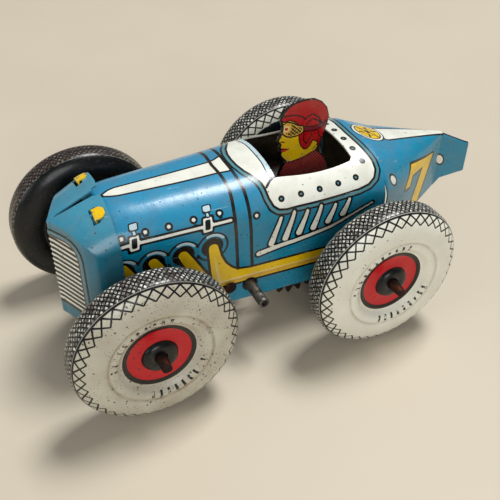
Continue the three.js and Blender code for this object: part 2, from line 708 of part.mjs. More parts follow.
// The ribbon's middle line: a spiral out from the arbor, then a tail hooked over a pillar.
function springLine() {
  const line = [];
  const hookStart = -0.35;
  const steps = SPRING_TURNS * SPRING_STEPS_PER_TURN;
  for (let step = 0; step <= steps; step += 1) {
    const part = step / steps;
    const angle = hookStart - (1 - part) * SPRING_TURNS * Math.PI * 2;
    const radius = SPRING_INNER + (SPRING_OUTER - SPRING_INNER) * part;
    line.push(new THREE.Vector2(
      arborCentre.x + radius * Math.cos(angle),
      arborCentre.z + radius * Math.sin(angle),
    ));
  }
  for (let step = 0; step <= 6; step += 1) {
    const angle = -0.5 + (step / 6) * Math.PI * 1.1;
    line.push(new THREE.Vector2(
      pillarFrontTop.x + SPRING_HOOK_RADIUS * Math.cos(angle),
      pillarFrontTop.z + SPRING_HOOK_RADIUS * Math.sin(angle),
    ));
  }
  return line;
}

function ribbonShape(line, thickness) {
  const left = [];
  const right = [];
  line.forEach((point, at) => {
    const before = line[Math.max(0, at - 1)];
    const after = line[Math.min(line.length - 1, at + 1)];
    const across = new THREE.Vector2(before.y - after.y, after.x - before.x).normalize();
    left.push(point.clone().addScaledVector(across, thickness / 2));
    right.push(point.clone().addScaledVector(across, -thickness / 2));
  });
  return new THREE.Shape([...left, ...right.reverse()]);
}

addPart(
  'mainspring',
  plateAlongY(ribbonShape(springLine(), SPRING_SHEET), SPRING_FROM_Y, SPRING_TO_Y),
  MOTOR_STEEL,
);

// ---- motor frame ----

const PILLAR_RADIUS = 1.1;
const PILLAR_END_RADIUS = 0.7;
const pillars = {
  pillar_front_top: pillarFrontTop,
  pillar_front_bottom: { x: 28.9, z: 15.4 },
  pillar_rear_top: { x: -10.5, z: 30.4 },
  pillar_rear_bottom: { x: -24.6, z: 15.6 },
};

// A pillar with its ends riveted over outside both plates.
function buildPillar({ x, z }) {
  const half = [
    [PILLAR_RADIUS, PLATE_INNER - GAP],
    [PILLAR_END_RADIUS, PLATE_INNER - GAP],
    [PILLAR_END_RADIUS, PLATE_OUTER + 0.1],
    [PILLAR_END_RADIUS - 0.2, PLATE_OUTER + 0.4],
    [0, PLATE_OUTER + 0.4],
  ];
  const mirrored = half.map(([radius, y]) => [radius, -y]).reverse();
  return turnedAlongY([...mirrored, ...half], x, z, 8);
}

for (const [name, place] of Object.entries(pillars)) {
  addPart(name, buildPillar(place), MOTOR_STEEL);
}

const PLATE_BOTTOM = 13.4;
const LUG_BOTTOM = 12.3;

// The plate's edge, with two small lugs that show under the body.
function motorPlateShape() {
  const shape = polygon([
    [30, PLATE_BOTTOM],
    [30.6, 15.6],
    [29.8, 24],
    [27, 31.2],
    [23.6, 32.7],
    [-12.6, 32.7],
    [-20, 29],
    [-26.4, 22],
    [-27, 14.6],
    [-25.4, PLATE_BOTTOM],
    [15.2, PLATE_BOTTOM],
    [15.2, LUG_BOTTOM],
    [17, LUG_BOTTOM],
    [17, PLATE_BOTTOM],
    [21.2, PLATE_BOTTOM],
    [21.2, LUG_BOTTOM],
    [24, LUG_BOTTOM],
    [24, PLATE_BOTTOM],
  ]);
  roundHole(shape, ARBOR_X, ARBOR_HEIGHT, ARBOR_RADIUS + AXLE_CLEARANCE);
  roundHole(shape, idlerCentre.x, idlerCentre.z, IDLER_ARBOR_RADIUS + GAP);
  roundHole(shape, REAR_AXLE_X, AXLE_HEIGHT, HUB_BORE);
  roundHole(shape, RIVET_X, RIVET_HEIGHT, RIVET_RADIUS + GAP);
  for (const { x, z } of Object.values(pillars)) {
    roundHole(shape, x, z, PILLAR_END_RADIUS + GAP);
  }
  return shape;
}

addPart('motor_plate_left', plateAlongY(motorPlateShape(), PLATE_INNER, PLATE_OUTER), MOTOR_STEEL);
addPart('motor_plate_right', plateAlongY(motorPlateShape(), -PLATE_OUTER, -PLATE_INNER), MOTOR_STEEL);

// ---- rivets from the body sides to the motor plates ----

const RIVET_HEAD_RADIUS = 1.9;
const BODY_SIDE_Y = 16.05;

function buildBodyRivet(side) {
  const profile = [
    [0, PLATE_INNER - GAP - 0.5],
    [RIVET_HEAD_RADIUS - 0.3, PLATE_INNER - GAP - 0.5],
    [RIVET_HEAD_RADIUS - 0.3, PLATE_INNER - GAP],
    [RIVET_RADIUS, PLATE_INNER - GAP],
    [RIVET_RADIUS, BODY_SIDE_Y + GAP],
    [RIVET_HEAD_RADIUS, BODY_SIDE_Y + GAP],
    [RIVET_HEAD_RADIUS - 0.4, BODY_SIDE_Y + GAP + 0.6],
    [0, BODY_SIDE_Y + GAP + 0.8],
  ];
  const placed = profile.map(([radius, y]) => [radius, side * y]);
  return turnedAlongY(placed, RIVET_X, RIVET_HEIGHT, 12);
}

addPart('body_rivet_left', buildBodyRivet(1), DARK_STEEL);
addPart('body_rivet_right', buildBodyRivet(-1), DARK_STEEL);

export default group;
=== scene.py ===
"""Looks of a clockwork tin racing car: printed body, balloon wheels, flat driver and motor.

Lengths in the classes are millimetres unless a name says otherwise; meshes are built in metres.
+X runs to the nose, +Y to the car's left side and +Z up, with the origin on the floor.
"""

import logging
import math
from dataclasses import dataclass, field
from enum import Enum
from typing import Sequence

import bpy
import numpy as np
from mathutils import Matrix, Vector


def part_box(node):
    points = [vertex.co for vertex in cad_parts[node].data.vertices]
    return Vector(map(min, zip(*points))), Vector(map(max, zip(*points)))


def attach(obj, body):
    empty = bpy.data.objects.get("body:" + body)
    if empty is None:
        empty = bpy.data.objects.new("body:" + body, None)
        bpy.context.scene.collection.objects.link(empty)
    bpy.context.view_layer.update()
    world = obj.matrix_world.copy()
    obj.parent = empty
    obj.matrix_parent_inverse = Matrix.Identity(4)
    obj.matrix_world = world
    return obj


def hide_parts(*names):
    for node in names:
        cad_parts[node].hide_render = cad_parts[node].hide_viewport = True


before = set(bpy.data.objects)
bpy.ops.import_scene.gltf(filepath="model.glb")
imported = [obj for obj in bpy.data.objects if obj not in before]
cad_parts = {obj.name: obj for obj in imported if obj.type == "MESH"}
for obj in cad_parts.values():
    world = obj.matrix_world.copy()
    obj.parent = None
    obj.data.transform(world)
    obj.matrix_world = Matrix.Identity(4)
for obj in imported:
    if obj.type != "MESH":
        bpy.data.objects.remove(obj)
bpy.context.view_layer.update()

LOG = logging.getLogger("tin_racer")
MM = 0.001

Output = bpy.types.NodeSocket
Value = float | Output
Material = bpy.types.Material
Piece = bpy.types.Object
Point = tuple[float, float]
Path = Sequence[Point]
Drawings = dict[str, np.ndarray]


# ---------------------------------------------------------------- colours and shader building


class Pigment(Enum):
    """Printing inks, enamels and metals, some as lit and shaded copies of one paint, as screen
    colours from 0 to 255.
    """

    # painted light and shade: the body's one blue, lighter as lit from above on its top and darker
    # as shaded on its sides
    SKY = (48, 144, 184)
    BLUE = (10, 134, 168)
    DEEP_BLUE = (6, 92, 124)
    SLATE = (98, 138, 156)
    # painted light and shade: the nose's one teal, lighter as lit from above on its top and darker
    # as shaded on its sides
    SHADED_SIDE_TEAL = (40, 120, 144)
    LIT_TOP_TEAL = (70, 148, 174)
    PINSTRIPE = (82, 142, 152)
    WHITE = (240, 241, 228)
    PALE_BLUE = (196, 220, 226)
    BLACK = (6, 8, 11)
    YELLOW = (246, 202, 4)
    OLD_GOLD = (222, 176, 70)
    CREAM = (243, 220, 150)
    SKIN = (232, 190, 4)
    RED = (196, 8, 24)
    HELMET = (180, 6, 18)
    HELMET_DARK = (122, 16, 34)
    LIP = (196, 38, 30)
    MAROON = (84, 30, 38)
    BRICK = (204, 70, 58)
    DARK_RING = (24, 20, 18)
    IVORY = (243, 243, 228)
    DULL_IVORY = (196, 192, 174)
    SOOT = (44, 42, 40)
    GRIME = (126, 96, 62)
    TIN = (150, 148, 140)
    OLIVE = (66, 58, 38)
    SHADED_OLIVE = (30, 26, 18)
    BLACK_ENAMEL = (4, 5, 6)
    RUST = (92, 52, 34)
    RUST_DARK = (44, 28, 22)
    STEEL = (118, 114, 108)
    DARK_STEEL = (62, 58, 54)
    BLUED_STEEL = (72, 78, 92)
    BRASS = (176, 140, 74)
    FLOOR = (203, 191, 169)

    @property
    def linear(self) -> tuple[float, float, float, float]:
        """The colour in linear light, as a shader socket holds it.

        Returns:
            Red, green, blue and 1.
        """
        steps = [c / 255 for c in self.value]
        red, green, blue = (
            c / 12.92 if c <= 0.04045 else ((c + 0.055) / 1.055) ** 2.4 for c in steps
        )
        return red, green, blue, 1.0


class ShaderGraph:
    """A material under construction: short methods that add nodes and return an output."""

    def __init__(self, name: str) -> None:
        """Starts an empty material with a Principled shader.

        Args:
            name: The material's name.
        """
        self.material = bpy.data.materials.new(name)
        self.material.use_nodes = True
        self.tree = self.material.node_tree
        self.shader = self.tree.nodes["Principled BSDF"]
        coordinates = self.tree.nodes.new("ShaderNodeTexCoord")
        scaled = self.tree.nodes.new("ShaderNodeVectorMath")
        scaled.operation = "SCALE"
        scaled.inputs["Scale"].default_value = 1 / MM
        self.tree.links.new(coordinates.outputs["Object"], scaled.inputs[0])
        self.place = scaled.outputs[0]

    def feed(self, socket: Output, value: Value | Pigment) -> None:
        """Links an output to a socket, or sets a number or a pigment on it.

        Args:
            socket: The socket to fill.
            value: What it takes.
        """
        if isinstance(value, Output):
            self.tree.links.new(value, socket)
        else:
            socket.default_value = value.linear if isinstance(value, Pigment) else value

    def math(
        self, operation: str, first: Value, second: Value = 0.0, third: Value = 0.0,
        clamp: bool = False,
    ) -> Output:
        """Adds a Math node.

        Args:
            operation: Blender's name for the operation.
            first: The first term.
            second: The second term.
            third: The third term.
            clamp: Whether the result is held between 0 and 1.

        Returns:
            The node's output.
        """
        node = self.tree.nodes.new("ShaderNodeMath")
        node.operation = operation
        node.use_clamp = clamp
        for socket, value in zip(node.inputs, (first, second, third)):
            self.feed(socket, value)
        return node.outputs[0]

    def texture(self, kind: str, scale: float, stretch: Sequence[float] | None) -> bpy.types.Node:
        """Adds a texture node over the object.

        Args:
            kind: Blender's name for the node.
            scale: Waves per millimetre.
            stretch: What each axis is multiplied by, if anything.

        Returns:
            The node.
        """
        node = self.tree.nodes.new(kind)
        node.inputs["Scale"].default_value = scale
        self.feed(node.inputs["Vector"], self.stretched(stretch) if stretch else self.place)
        return node

    def noise(
        self, scale: float, detail: float = 3.0, stretch: Sequence[float] | None = None
    ) -> Output:
        """Adds noise over the object.

        Args:
            scale: Waves per millimetre.
            detail: How many finer layers it has.
            stretch: What each axis is multiplied by, if anything.

        Returns:
            The noise, about 0.5.
        """
        node = self.texture("ShaderNodeTexNoise", scale, stretch)
        node.inputs["Detail"].default_value = detail
        return node.outputs[0]

    def cells(self, scale: float) -> Output:
        """The distance to the nearest of many scattered points, with scale per millimetre."""
        return self.texture("ShaderNodeTexVoronoi", scale, None).outputs["Distance"]

    def stretched(self, factors: Sequence[float]) -> Output:
        """Multiplies each axis of the place on the object.

        Args:
            factors: One factor for each axis.

        Returns:
            The stretched place.
        """
        node = self.tree.nodes.new("ShaderNodeVectorMath")
        node.operation = "MULTIPLY"
        self.feed(node.inputs[0], self.place)
        node.inputs[1].default_value = factors
        return node.outputs[0]

    def drawn(self, name: str) -> Output:
        """Reads a drawing that is stored on the mesh.

        Args:
            name: The attribute's name.

        Returns:
            Its value.
        """
        node = self.tree.nodes.new("ShaderNodeAttribute")
        node.attribute_name = name
        return node.outputs["Fac"]

    def below(self, value: Value, limit: float, blur: float = 0.06) -> Output:
        """1 where a value is under a limit and 0 over it, with a soft step between."""
        offset = self.math("SUBTRACT", limit + blur / 2, value)
        return self.math("DIVIDE", offset, blur, clamp=True)

    def above(self, value: Value, limit: float, blur: float = 0.06) -> Output:
        """1 where a value is over a limit and 0 under it, with a soft step between."""
        offset = self.math("SUBTRACT", value, limit - blur / 2)
        return self.math("DIVIDE", offset, blur, clamp=True)

    def both(self, first: Value, second: Value) -> Output:
        """Where two masks overlap."""
        return self.math("MULTIPLY", first, second)

    def either(self, first: Value, second: Value) -> Output:
        """Where one mask or the other is on."""
        return self.math("MAXIMUM", first, second)

    def apart(self, first: Value, second: Value) -> Output:
        """How far apart two values are."""
        return self.math("ABSOLUTE", self.math("SUBTRACT", first, second))

    def between(self, mask: Value, low: float, high: float) -> Output:
        """A number that runs from low to high as a mask runs from 0 to 1."""
        return self.math("MULTIPLY_ADD", mask, high - low, low)

    def spots(self, scale: float, size: float, blur: float, zone: Output) -> Output:
        """Scattered round spots, kept to a zone."""
        return self.both(self.below(self.cells(scale), size, blur), zone)

    def crossed(
        self, along: Output, lean: float, turn: Output, limit: float, blur: float
    ) -> Output:
        """Two families of lines that lean opposite ways and cross.

        Args:
            along: The coordinate that the lines run along.
            lean: How far they lean over for each unit of it.
            turn: The coordinate across them, one line to each unit.
            limit: Where a line begins, from 0 at the middle of a gap to 0.5.
            blur: Softness of its edge.

        Returns:
            The mask of the lines.
        """
        families = []
        for way in (lean, -lean):
            wave = self.math("FRACT", self.math("MULTIPLY_ADD", along, way, turn))
            families.append(self.above(self.apart(wave, 0.5), limit, blur))
        return self.either(*families)

    def mix(self, mask: Value, under: Output | Pigment, over: Output | Pigment) -> Output:
        """Lays one colour over another.

        Args:
            mask: Where the upper colour covers.
            under: The lower colour.
            over: The upper colour.

        Returns:
            The mixed colour.
        """
        node = self.tree.nodes.new("ShaderNodeMix")
        node.data_type = "RGBA"
        for at, value in ((0, mask), (6, under), (7, over)):
            self.feed(node.inputs[at], value)
        return node.outputs[2]

    def tint(
        self, mask: Output, strength: float, under: Output | Pigment, over: Pigment
    ) -> Output:
        """Lays a thin film of a pigment over a colour, its strength from 0 to 1."""
        return self.mix(self.between(mask, 0.0, strength), under, over)

    def bump(self, height: Output, strength: float, depth: float) -> None:
        """Adds fine relief to the shader.

        Args:
            height: The relief.
            strength: How much of it shows.
            depth: Its depth in millimetres.
        """
        node = self.tree.nodes.new("ShaderNodeBump")
        node.inputs["Strength"].default_value = strength
        node.inputs["Distance"].default_value = depth * MM
        self.feed(node.inputs["Height"], height)
        self.feed(self.shader.inputs["Normal"], node.outputs[0])

    def finish(
        self, colour: Output, roughness: Output, metallic: Value = 0.0, coat: float = 0.0
    ) -> Material:
        """Connects the shader's main inputs.

        Args:
            colour: The colour.
            roughness: The roughness.
            metallic: How metallic the surface is.
            coat: Weight of the clear coat.

        Returns:
            The finished material.
        """
        for name, value in (
            ("Base Color", colour), ("Roughness", roughness), ("Metallic", metallic),
            ("Coat Weight", coat), ("Coat Roughness", 0.12),
        ):
            self.feed(self.shader.inputs[name], value)
        return self.material


# ---------------------------------------------------------------- finishes


@dataclass(frozen=True)
class Ink:
    """One printed colour: it covers the tin where a drawing's distance is below a limit."""

    drawing: str
    limit: float
    pigment: Pigment


@dataclass(frozen=True)
class PrintedTin:
    """Gloss lithographed tin: a ground colour painted lighter high up and darker low down as
    painted light and shade, inks in printing order, then wear.

    Attributes:
        name: The material's name.
        crown: Ground colour painted as lit from above, on surfaces high on the piece: painted
            light.
        flank: The same ground colour painted darker as in shade, low on the piece: painted shade.
        crown_height: Height in millimetres where the painted lit colour turns to the painted shaded
            one.
        crown_blend: Height over which it turns.
        inks: The printed colours, first printed first.
        chips: How much of the print has flaked, from 0 to 1.
    """

    name: str
    crown: Pigment
    flank: Pigment
    crown_height: float
    crown_blend: float
    inks: tuple[Ink, ...]
    chips: float = 0.5

    def build(self) -> Material:
        """Makes the material.

        Returns:
            The material.
        """
        graph = ShaderGraph(self.name)
        colour = self.ground(graph)
        for ink in self.inks:
            mask = graph.below(graph.drawn(ink.drawing), ink.limit)
            colour = graph.mix(mask, colour, ink.pigment)
        colour = self.dirty(graph, colour)
        chips = self.flaked(graph)
        colour = graph.mix(chips, colour, Pigment.TIN)
        specks = graph.spots(0.55, 0.12, 0.05, graph.above(graph.noise(0.16, 3), 0.51, 0.06))
        colour = graph.tint(specks, 0.75, colour, Pigment.SOOT)
        worn = graph.either(chips, specks)
        roughness = graph.math("MULTIPLY_ADD", graph.noise(0.35, 5), 0.22, 0.16)
        roughness = graph.math("MULTIPLY_ADD", worn, 0.25, roughness)
        dents = graph.math("MULTIPLY", graph.noise(0.09, 2), 1.4)
        grain = graph.math("MULTIPLY_ADD", graph.noise(1.9, 3), 0.10, dents)
        graph.bump(graph.math("MULTIPLY_ADD", worn, -0.25, grain), 0.55, 0.35)
        graph.shader.inputs["Specular IOR Level"].default_value = 0.4
        return graph.finish(colour, roughness, graph.between(chips, 0.0, 0.75), coat=0.25)

    def ground(self, graph: ShaderGraph) -> Output:
        """Blends the painted lit top colour into the painted shaded side colour at a clouded
        height, and mottles them.

        Args:
            graph: The material.

        Returns:
            The colour.
        """
        height = graph.tree.nodes.new("ShaderNodeSeparateXYZ")
        graph.feed(height.inputs[0], graph.place)
        lift = graph.math("MULTIPLY_ADD", graph.noise(0.11, 4), 5.0, height.outputs[2])
        # painted light and shade: above this height the piece takes its lighter lit colour, below
        # it the darker shaded one
        high = graph.above(lift, self.crown_height + 2.5, self.crown_blend)
        mottle = graph.above(graph.noise(0.6, 5), 0.62, 0.25)
        return graph.tint(
            mottle, 0.16, graph.mix(high, self.flank, self.crown), Pigment.DEEP_BLUE
        )

    def dirty(self, graph: ShaderGraph, colour: Output) -> Output:
        """Browns the print thinly in clouds, and pales it along fine scratches.

        Args:
            graph: The material.
            colour: The clean print.

        Returns:
            The dirty print.
        """
        film = graph.above(graph.noise(0.22, 6), 0.56, 0.2)
        colour = graph.tint(film, 0.14, colour, Pigment.GRIME)
        scratch = graph.above(graph.noise(0.5, 4, stretch=(0.22, 1.0, 4.5)), 0.71, 0.03)
        return graph.tint(scratch, 0.35, colour, Pigment.PALE_BLUE)

    def flaked(self, graph: ShaderGraph) -> Output:
        """Masks the spots where the print has come off, thickest near folded edges.

        Args:
            graph: The material.

        Returns:
            The mask.
        """
        edge = graph.below(graph.drawn("fold"), 0.9, 1.6)
        threshold = graph.math("MULTIPLY_ADD", edge, -0.12, 0.765 - 0.04 * self.chips)
        spots = graph.math("SUBTRACT", graph.noise(0.9, 6), threshold)
        return graph.math("DIVIDE", spots, 0.02, clamp=True)


@dataclass(frozen=True)
class BareTin:
    """The unprinted inside of the pressings: varnished tin, its gold lacquer painted dark olive
    brown as painted shade.
    """

    name: str = "tin_inside"

    def build(self) -> Material:
        """Makes the material.

        Returns:
            The material.
        """
        graph = ShaderGraph(self.name)
        # painted shade: the inside is coloured far darker than its gold lacquer, as it looks in
        # shadow, and darker still in clouds
        stain = graph.above(graph.noise(0.18, 5), 0.5, 0.3)
        colour = graph.mix(stain, Pigment.OLIVE, Pigment.SHADED_OLIVE)
        roughness = graph.math("MULTIPLY_ADD", graph.noise(0.5, 4), 0.3, 0.35)
        graph.bump(graph.noise(1.3, 3), 0.3, 0.2)
        return graph.finish(colour, roughness, 0.55)


@dataclass(frozen=True)
class WornMetal:
    """Plain metal with tarnish or rust spreading over it.

    Attributes:
        name: The material's name.
        bright: Colour where the metal is clean.
        dull: Colour of the tarnish.
        spread: Share of the surface that is dull, from 0 to 1.
        grain: Stretch of the fine marks along each axis.
        roughness: Roughness where the metal is clean.
    """

    name: str
    bright: Pigment
    dull: Pigment
    spread: float = 0.5
    grain: tuple[float, float, float] = (1.0, 1.0, 1.0)
    roughness: float = 0.35

    def build(self) -> Material:
        """Makes the material.

        Returns:
            The material.
        """
        graph = ShaderGraph(self.name)
        tarnish = graph.above(graph.noise(0.45, 6), 0.72 - 0.45 * self.spread, 0.16)
        marks = graph.noise(1.6, 4, stretch=self.grain)
        colour = graph.mix(tarnish, self.bright, self.dull)
        colour = graph.tint(graph.above(marks, 0.6, 0.2), 0.4, colour, Pigment.SOOT)
        rough = graph.math("MULTIPLY_ADD", tarnish, 0.3, self.roughness)
        rough = graph.math("MULTIPLY_ADD", marks, 0.12, rough)
        graph.bump(graph.math("MULTIPLY_ADD", tarnish, 0.6, marks), 0.5, 0.12)
        return graph.finish(colour, rough, graph.between(tarnish, 0.95, 0.55))


@dataclass(frozen=True)
class TyrePrint:
    """One half of a wheel: printed tread, ivory sidewall, and a red disc or black enamel.

    The drawings are the distance from the wheel's axis, the distance out from its middle plane
    and the direction round it, which the wheel stores on its mesh.

    Attributes:
        name: The material's name.
        band_radius: Radius of the black circle where the cross-hatched band begins.
        band_depth: Depth of the band towards the hub.
        lozenges: How many lozenges go round the band.
        groove_radius: Radius of the pressed ring in the sidewall.
        dash_radius: Radius of the ring of moulded dashes.
        dash_count: How many dashes a full ring would hold.
        tread_count: How many lines the tread's hatching has each way.
        rim_outer: Outer radius of the dark ring round the disc.
        rim_inner: Inner radius of that ring.
        hub_radius: Radius of the black hub.
        tread_radius: Radius where the sidewall gives way to the tread.
        dirt: How brown the tread is, from 0 to 1.
        wear: How worn and speckled the sidewall is, from 0 to 1.
        inboard: Whether this is the half that faces the body, black inside its printed edge.
        inboard_rim: Radius where the black begins on that half.
    """

    name: str
    band_radius: float = 21.1
    band_depth: float = 2.4
    lozenges: int = 40
    groove_radius: float = 13.5
    dash_radius: float = 11.9
    dash_count: float = 36.0
    tread_count: float = 96.0
    rim_outer: float = 9.55
    rim_inner: float = 8.3
    hub_radius: float = 4.75
    tread_radius: float = 21.42
    dirt: float = 0.25
    wear: float = 0.5
    inboard: bool = False
    inboard_rim: float = 18.3

    def build(self) -> Material:
        """Makes the material.

        Returns:
            The material.
        """
        graph = ShaderGraph(self.name)
        radius = graph.drawn("from_axis")
        angle = graph.math("ARCTAN2", graph.drawn("up_part"), graph.drawn("fore_part"))
        turn = graph.math("DIVIDE", angle, 2 * math.pi)
        colour = self.sidewall(graph, radius)
        colour = graph.mix(self.marks(graph, radius, turn), colour, Pigment.BLACK)
        colour = graph.mix(self.lattice(graph, radius, turn), colour, Pigment.BLACK)
        colour = self.tread(graph, radius, turn, colour)
        colour = self.middle(graph, radius, colour)
        zone = graph.above(graph.noise(0.12, 4), 0.56 - 0.12 * self.wear, 0.12)
        specks = graph.spots(0.62, 0.11 + 0.07 * self.wear, 0.05, zone)
        zone = graph.above(graph.noise(0.2, 3), 0.58 - 0.14 * self.wear, 0.1)
        fine = graph.spots(1.35, 0.10 + 0.10 * self.wear, 0.06, zone)
        specks = graph.either(specks, graph.math("MULTIPLY", fine, 0.8))
        colour = graph.tint(specks, 0.82, colour, Pigment.SOOT)
        roughness = graph.math("MULTIPLY_ADD", graph.noise(0.4, 5), 0.25, 0.2)
        relief = graph.math("MULTIPLY_ADD", graph.noise(1.6, 3), 0.12, graph.noise(0.15, 2))
        graph.bump(graph.math("MULTIPLY_ADD", specks, -0.3, relief), 0.5, 0.3)
        graph.shader.inputs["Specular IOR Level"].default_value = 0.35
        return graph.finish(colour, roughness, coat=0.12)

    def middle(self, graph: ShaderGraph, radius: Output, colour: Output) -> Output:
        """Paints the red disc in its dark ring, or the black enamel of the inboard half.

        Args:
            graph: The material.
            radius: Distance from the axis.
            colour: The colour so far.

        Returns:
            The colour.
        """
        if self.inboard:
            edge = self.inboard_rim + 0.4
            ragged = graph.math("MULTIPLY_ADD", graph.noise(0.8, 4), -0.8, edge)
            black = graph.math("SUBTRACT", ragged, radius)
            black = graph.math("DIVIDE", black, 0.2, clamp=True)
            return graph.mix(black, colour, Pigment.BLACK_ENAMEL)
        for limit, pigment in (
            (self.rim_outer, Pigment.DARK_RING), (self.rim_inner, Pigment.RED),
            (self.hub_radius, Pigment.BLACK),
        ):
            colour = graph.mix(graph.below(radius, limit), colour, pigment)
        return colour

    def sidewall(self, graph: ShaderGraph, radius: Output) -> Output:
        """Ivory paint with brown grime in the pressed ring and in clouds.

        Args:
            graph: The material.
            radius: Distance from the axis.

        Returns:
            The colour.
        """
        clouds = graph.above(graph.noise(0.13, 5), 0.52, 0.3)
        clean = graph.mix(self.wear, Pigment.IVORY, Pigment.DULL_IVORY)
        colour = graph.tint(clouds, 0.08 + 0.2 * self.wear, clean, Pigment.GRIME)
        patchy = graph.above(graph.noise(0.2, 3), 0.42, 0.3)
        groove = graph.below(graph.apart(radius, self.groove_radius), 0.25, 0.7)
        strength = 0.35 + 0.5 * self.wear
        return graph.tint(graph.both(groove, patchy), strength, colour, Pigment.GRIME)

    def lattice(self, graph: ShaderGraph, radius: Output, turn: Output) -> Output:
        """Slanted lines that cross into lozenges under the black circle.

        Args:
            graph: The material.
            radius: Distance from the axis.
            turn: Share of a turn round the wheel.

        Returns:
            The mask of the black lines.
        """
        down = graph.math("SUBTRACT", self.band_radius, radius)
        share = graph.math("DIVIDE", down, self.band_depth)
        round_band = graph.math("MULTIPLY", turn, self.lozenges)
        pitch = 2 * math.pi * (self.band_radius - self.band_depth / 2) / self.lozenges
        lines = graph.crossed(share, 1.0, round_band, 0.5 - 0.33 / pitch, 0.1 / pitch)
        inside = graph.both(graph.above(share, 0.0, 0.02), graph.below(share, 1.04, 0.02))
        circle = graph.below(graph.apart(down, -0.1), 0.17, 0.1)
        return graph.either(graph.both(lines, inside), circle)

    def marks(self, graph: ShaderGraph, radius: Output, turn: Output) -> Output:
        """Short moulded dashes in two arcs on the sidewall, where a tyre carries its markings.

        Args:
            graph: The material.
            radius: Distance from the axis.
            turn: Share of a turn round the wheel.

        Returns:
            The mask of the dashes.
        """
        spin = graph.math("FRACT", graph.math("ADD", turn, 1.0))
        arcs = graph.either(
            graph.below(graph.apart(spin, 0.16), 0.15, 0.004),
            graph.below(graph.apart(spin, 0.68), 0.13, 0.004),
        )
        cell = graph.math("FRACT", graph.math("MULTIPLY", turn, self.dash_count))
        dash = graph.below(graph.apart(cell, 0.5), 0.17, 0.06)
        ring = graph.below(graph.apart(radius, self.dash_radius), 0.95, 0.1)
        worn = graph.above(graph.noise(1.1, 3), 0.46, 0.06)
        return graph.both(graph.both(arcs, dash), graph.both(ring, worn))

    def tread(
        self, graph: ShaderGraph, radius: Output, turn: Output, colour: Output
    ) -> Output:
        """Grey, black and white hatching over the tread, with a black line at its edge.

        Args:
            graph: The material.
            radius: Distance from the axis.
            turn: Share of a turn round the wheel.
            colour: The colour so far.

        Returns:
            The colour.
        """
        out = graph.drawn("from_middle")
        hatching = graph.math("MULTIPLY", turn, self.tread_count)
        weave = graph.crossed(out, 0.62, hatching, 0.30, 0.08)
        mottle = graph.above(graph.noise(1.5, 4), 0.47, 0.08)
        light = graph.mix(mottle, Pigment.WHITE, Pigment.STEEL)
        dark = graph.tint(mottle, 0.5, Pigment.BLACK, Pigment.SOOT)
        tread = graph.mix(weave, light, dark)
        brown = graph.above(graph.noise(0.25, 4), 0.72 - 0.5 * self.dirt, 0.2)
        tread = graph.tint(brown, 0.8, tread, Pigment.RUST_DARK)
        line = graph.below(graph.apart(out, 2.75), 0.14, 0.08)
        tread = graph.mix(graph.both(line, graph.above(mottle, 0.1, 0.3)), tread, Pigment.BLACK)
        return graph.mix(graph.above(radius, self.tread_radius), colour, tread)


# ---------------------------------------------------------------- drawing


class Sketch:
    """Signed distances in millimetres from points on a flat layout to drawn shapes.

    A distance is negative inside a shape, so shapes join by taking the smallest.
    """

    def __init__(self, across: np.ndarray, down: np.ndarray) -> None:
        """Holds the layout.

        Args:
            across: First coordinate of each point.
            down: Second coordinate of each point.
        """
        self.across = across
        self.down = down

    def disc(self, across: float, down: float, radius: float) -> np.ndarray:
        """Distance to a round spot."""
        return np.hypot(self.across - across, self.down - down) - radius

    def slab(self, middle: Point, half: Point, lean: float = 0.0) -> np.ndarray:
        """Distance to a rectangle.

        Args:
            middle: Its middle.
            half: Its half sizes.
            lean: How far its second axis leans over for each millimetre.

        Returns:
            The distances.
        """
        down = self.down - middle[1]
        across = self.across - middle[0] - lean * down
        near = np.stack([np.abs(across) - half[0], np.abs(down) - half[1]])
        outside = np.hypot(*np.maximum(near, 0))
        return outside + np.minimum(near.max(0), 0)

    def stroke(self, path: Path, half: float, end_half: float | None = None) -> np.ndarray:
        """Distance to a line drawn with a round pen.

        Args:
            path: The line's points.
            half: Half the line's width where it starts.
            end_half: Half its width where it ends, if that differs.

        Returns:
            The distances.
        """
        widths = np.linspace(half, half if end_half is None else end_half, len(path))
        nearest = np.full(self.across.shape, 1e3)
        for start, end, wide, narrow in zip(path, path[1:], widths, widths[1:]):
            run = np.subtract(end, start)
            share = (self.across - start[0]) * run[0] + (self.down - start[1]) * run[1]
            share = np.clip(share / max(run @ run, 1e-9), 0, 1)
            gap = np.hypot(
                self.across - start[0] - share * run[0], self.down - start[1] - share * run[1]
            )
            nearest = np.minimum(nearest, gap - wide - (narrow - wide) * share)
        return nearest

    def patch(self, path: Path, corner: float = 0.0) -> np.ndarray:
        """Distance to a filled outline, with its corners rounded outwards by a radius.

        Args:
            path: The points.
            corner: Radius that rounds its corners outwards.

        Returns:
            The distances.
        """
        edge = self.stroke([*path, path[0]], 0.0)
        inside = np.zeros(self.across.shape, bool)
        for (x0, y0), (x1, y1) in zip(path, [*path[1:], path[0]]):
            spans = (y0 > self.down) != (y1 > self.down)
            rise = y1 - y0 if abs(y1 - y0) > 1e-9 else 1e-9
            inside ^= spans & (self.across < (x1 - x0) * (self.down - y0) / rise + x0)
        return np.where(inside, -edge, edge) - corner

    def arc(
        self, middle: Point, radius: float, start: float, end: float, half: float
    ) -> np.ndarray:
        """Distance to part of a circle drawn with a round pen, its angles in degrees.

        Args:
            middle: Its middle.
            radius: Its radius.
            start: Angle where it starts, in degrees.
            end: Angle where it ends.
            half: Half the pen's width.

        Returns:
            The distances.
        """
        path = [
            (middle[0] + radius * math.cos(turn), middle[1] + radius * math.sin(turn))
            for turn in np.radians(np.linspace(start, end, 9))
        ]
        return self.stroke(path, half)


def mirrored(path: Path) -> list[Point]:
    """A path down one side of a centre line, closed by its reflection on the other side."""
    return [*path, *[(a, -b) for a, b in reversed(path) if abs(b) > 1e-9]]


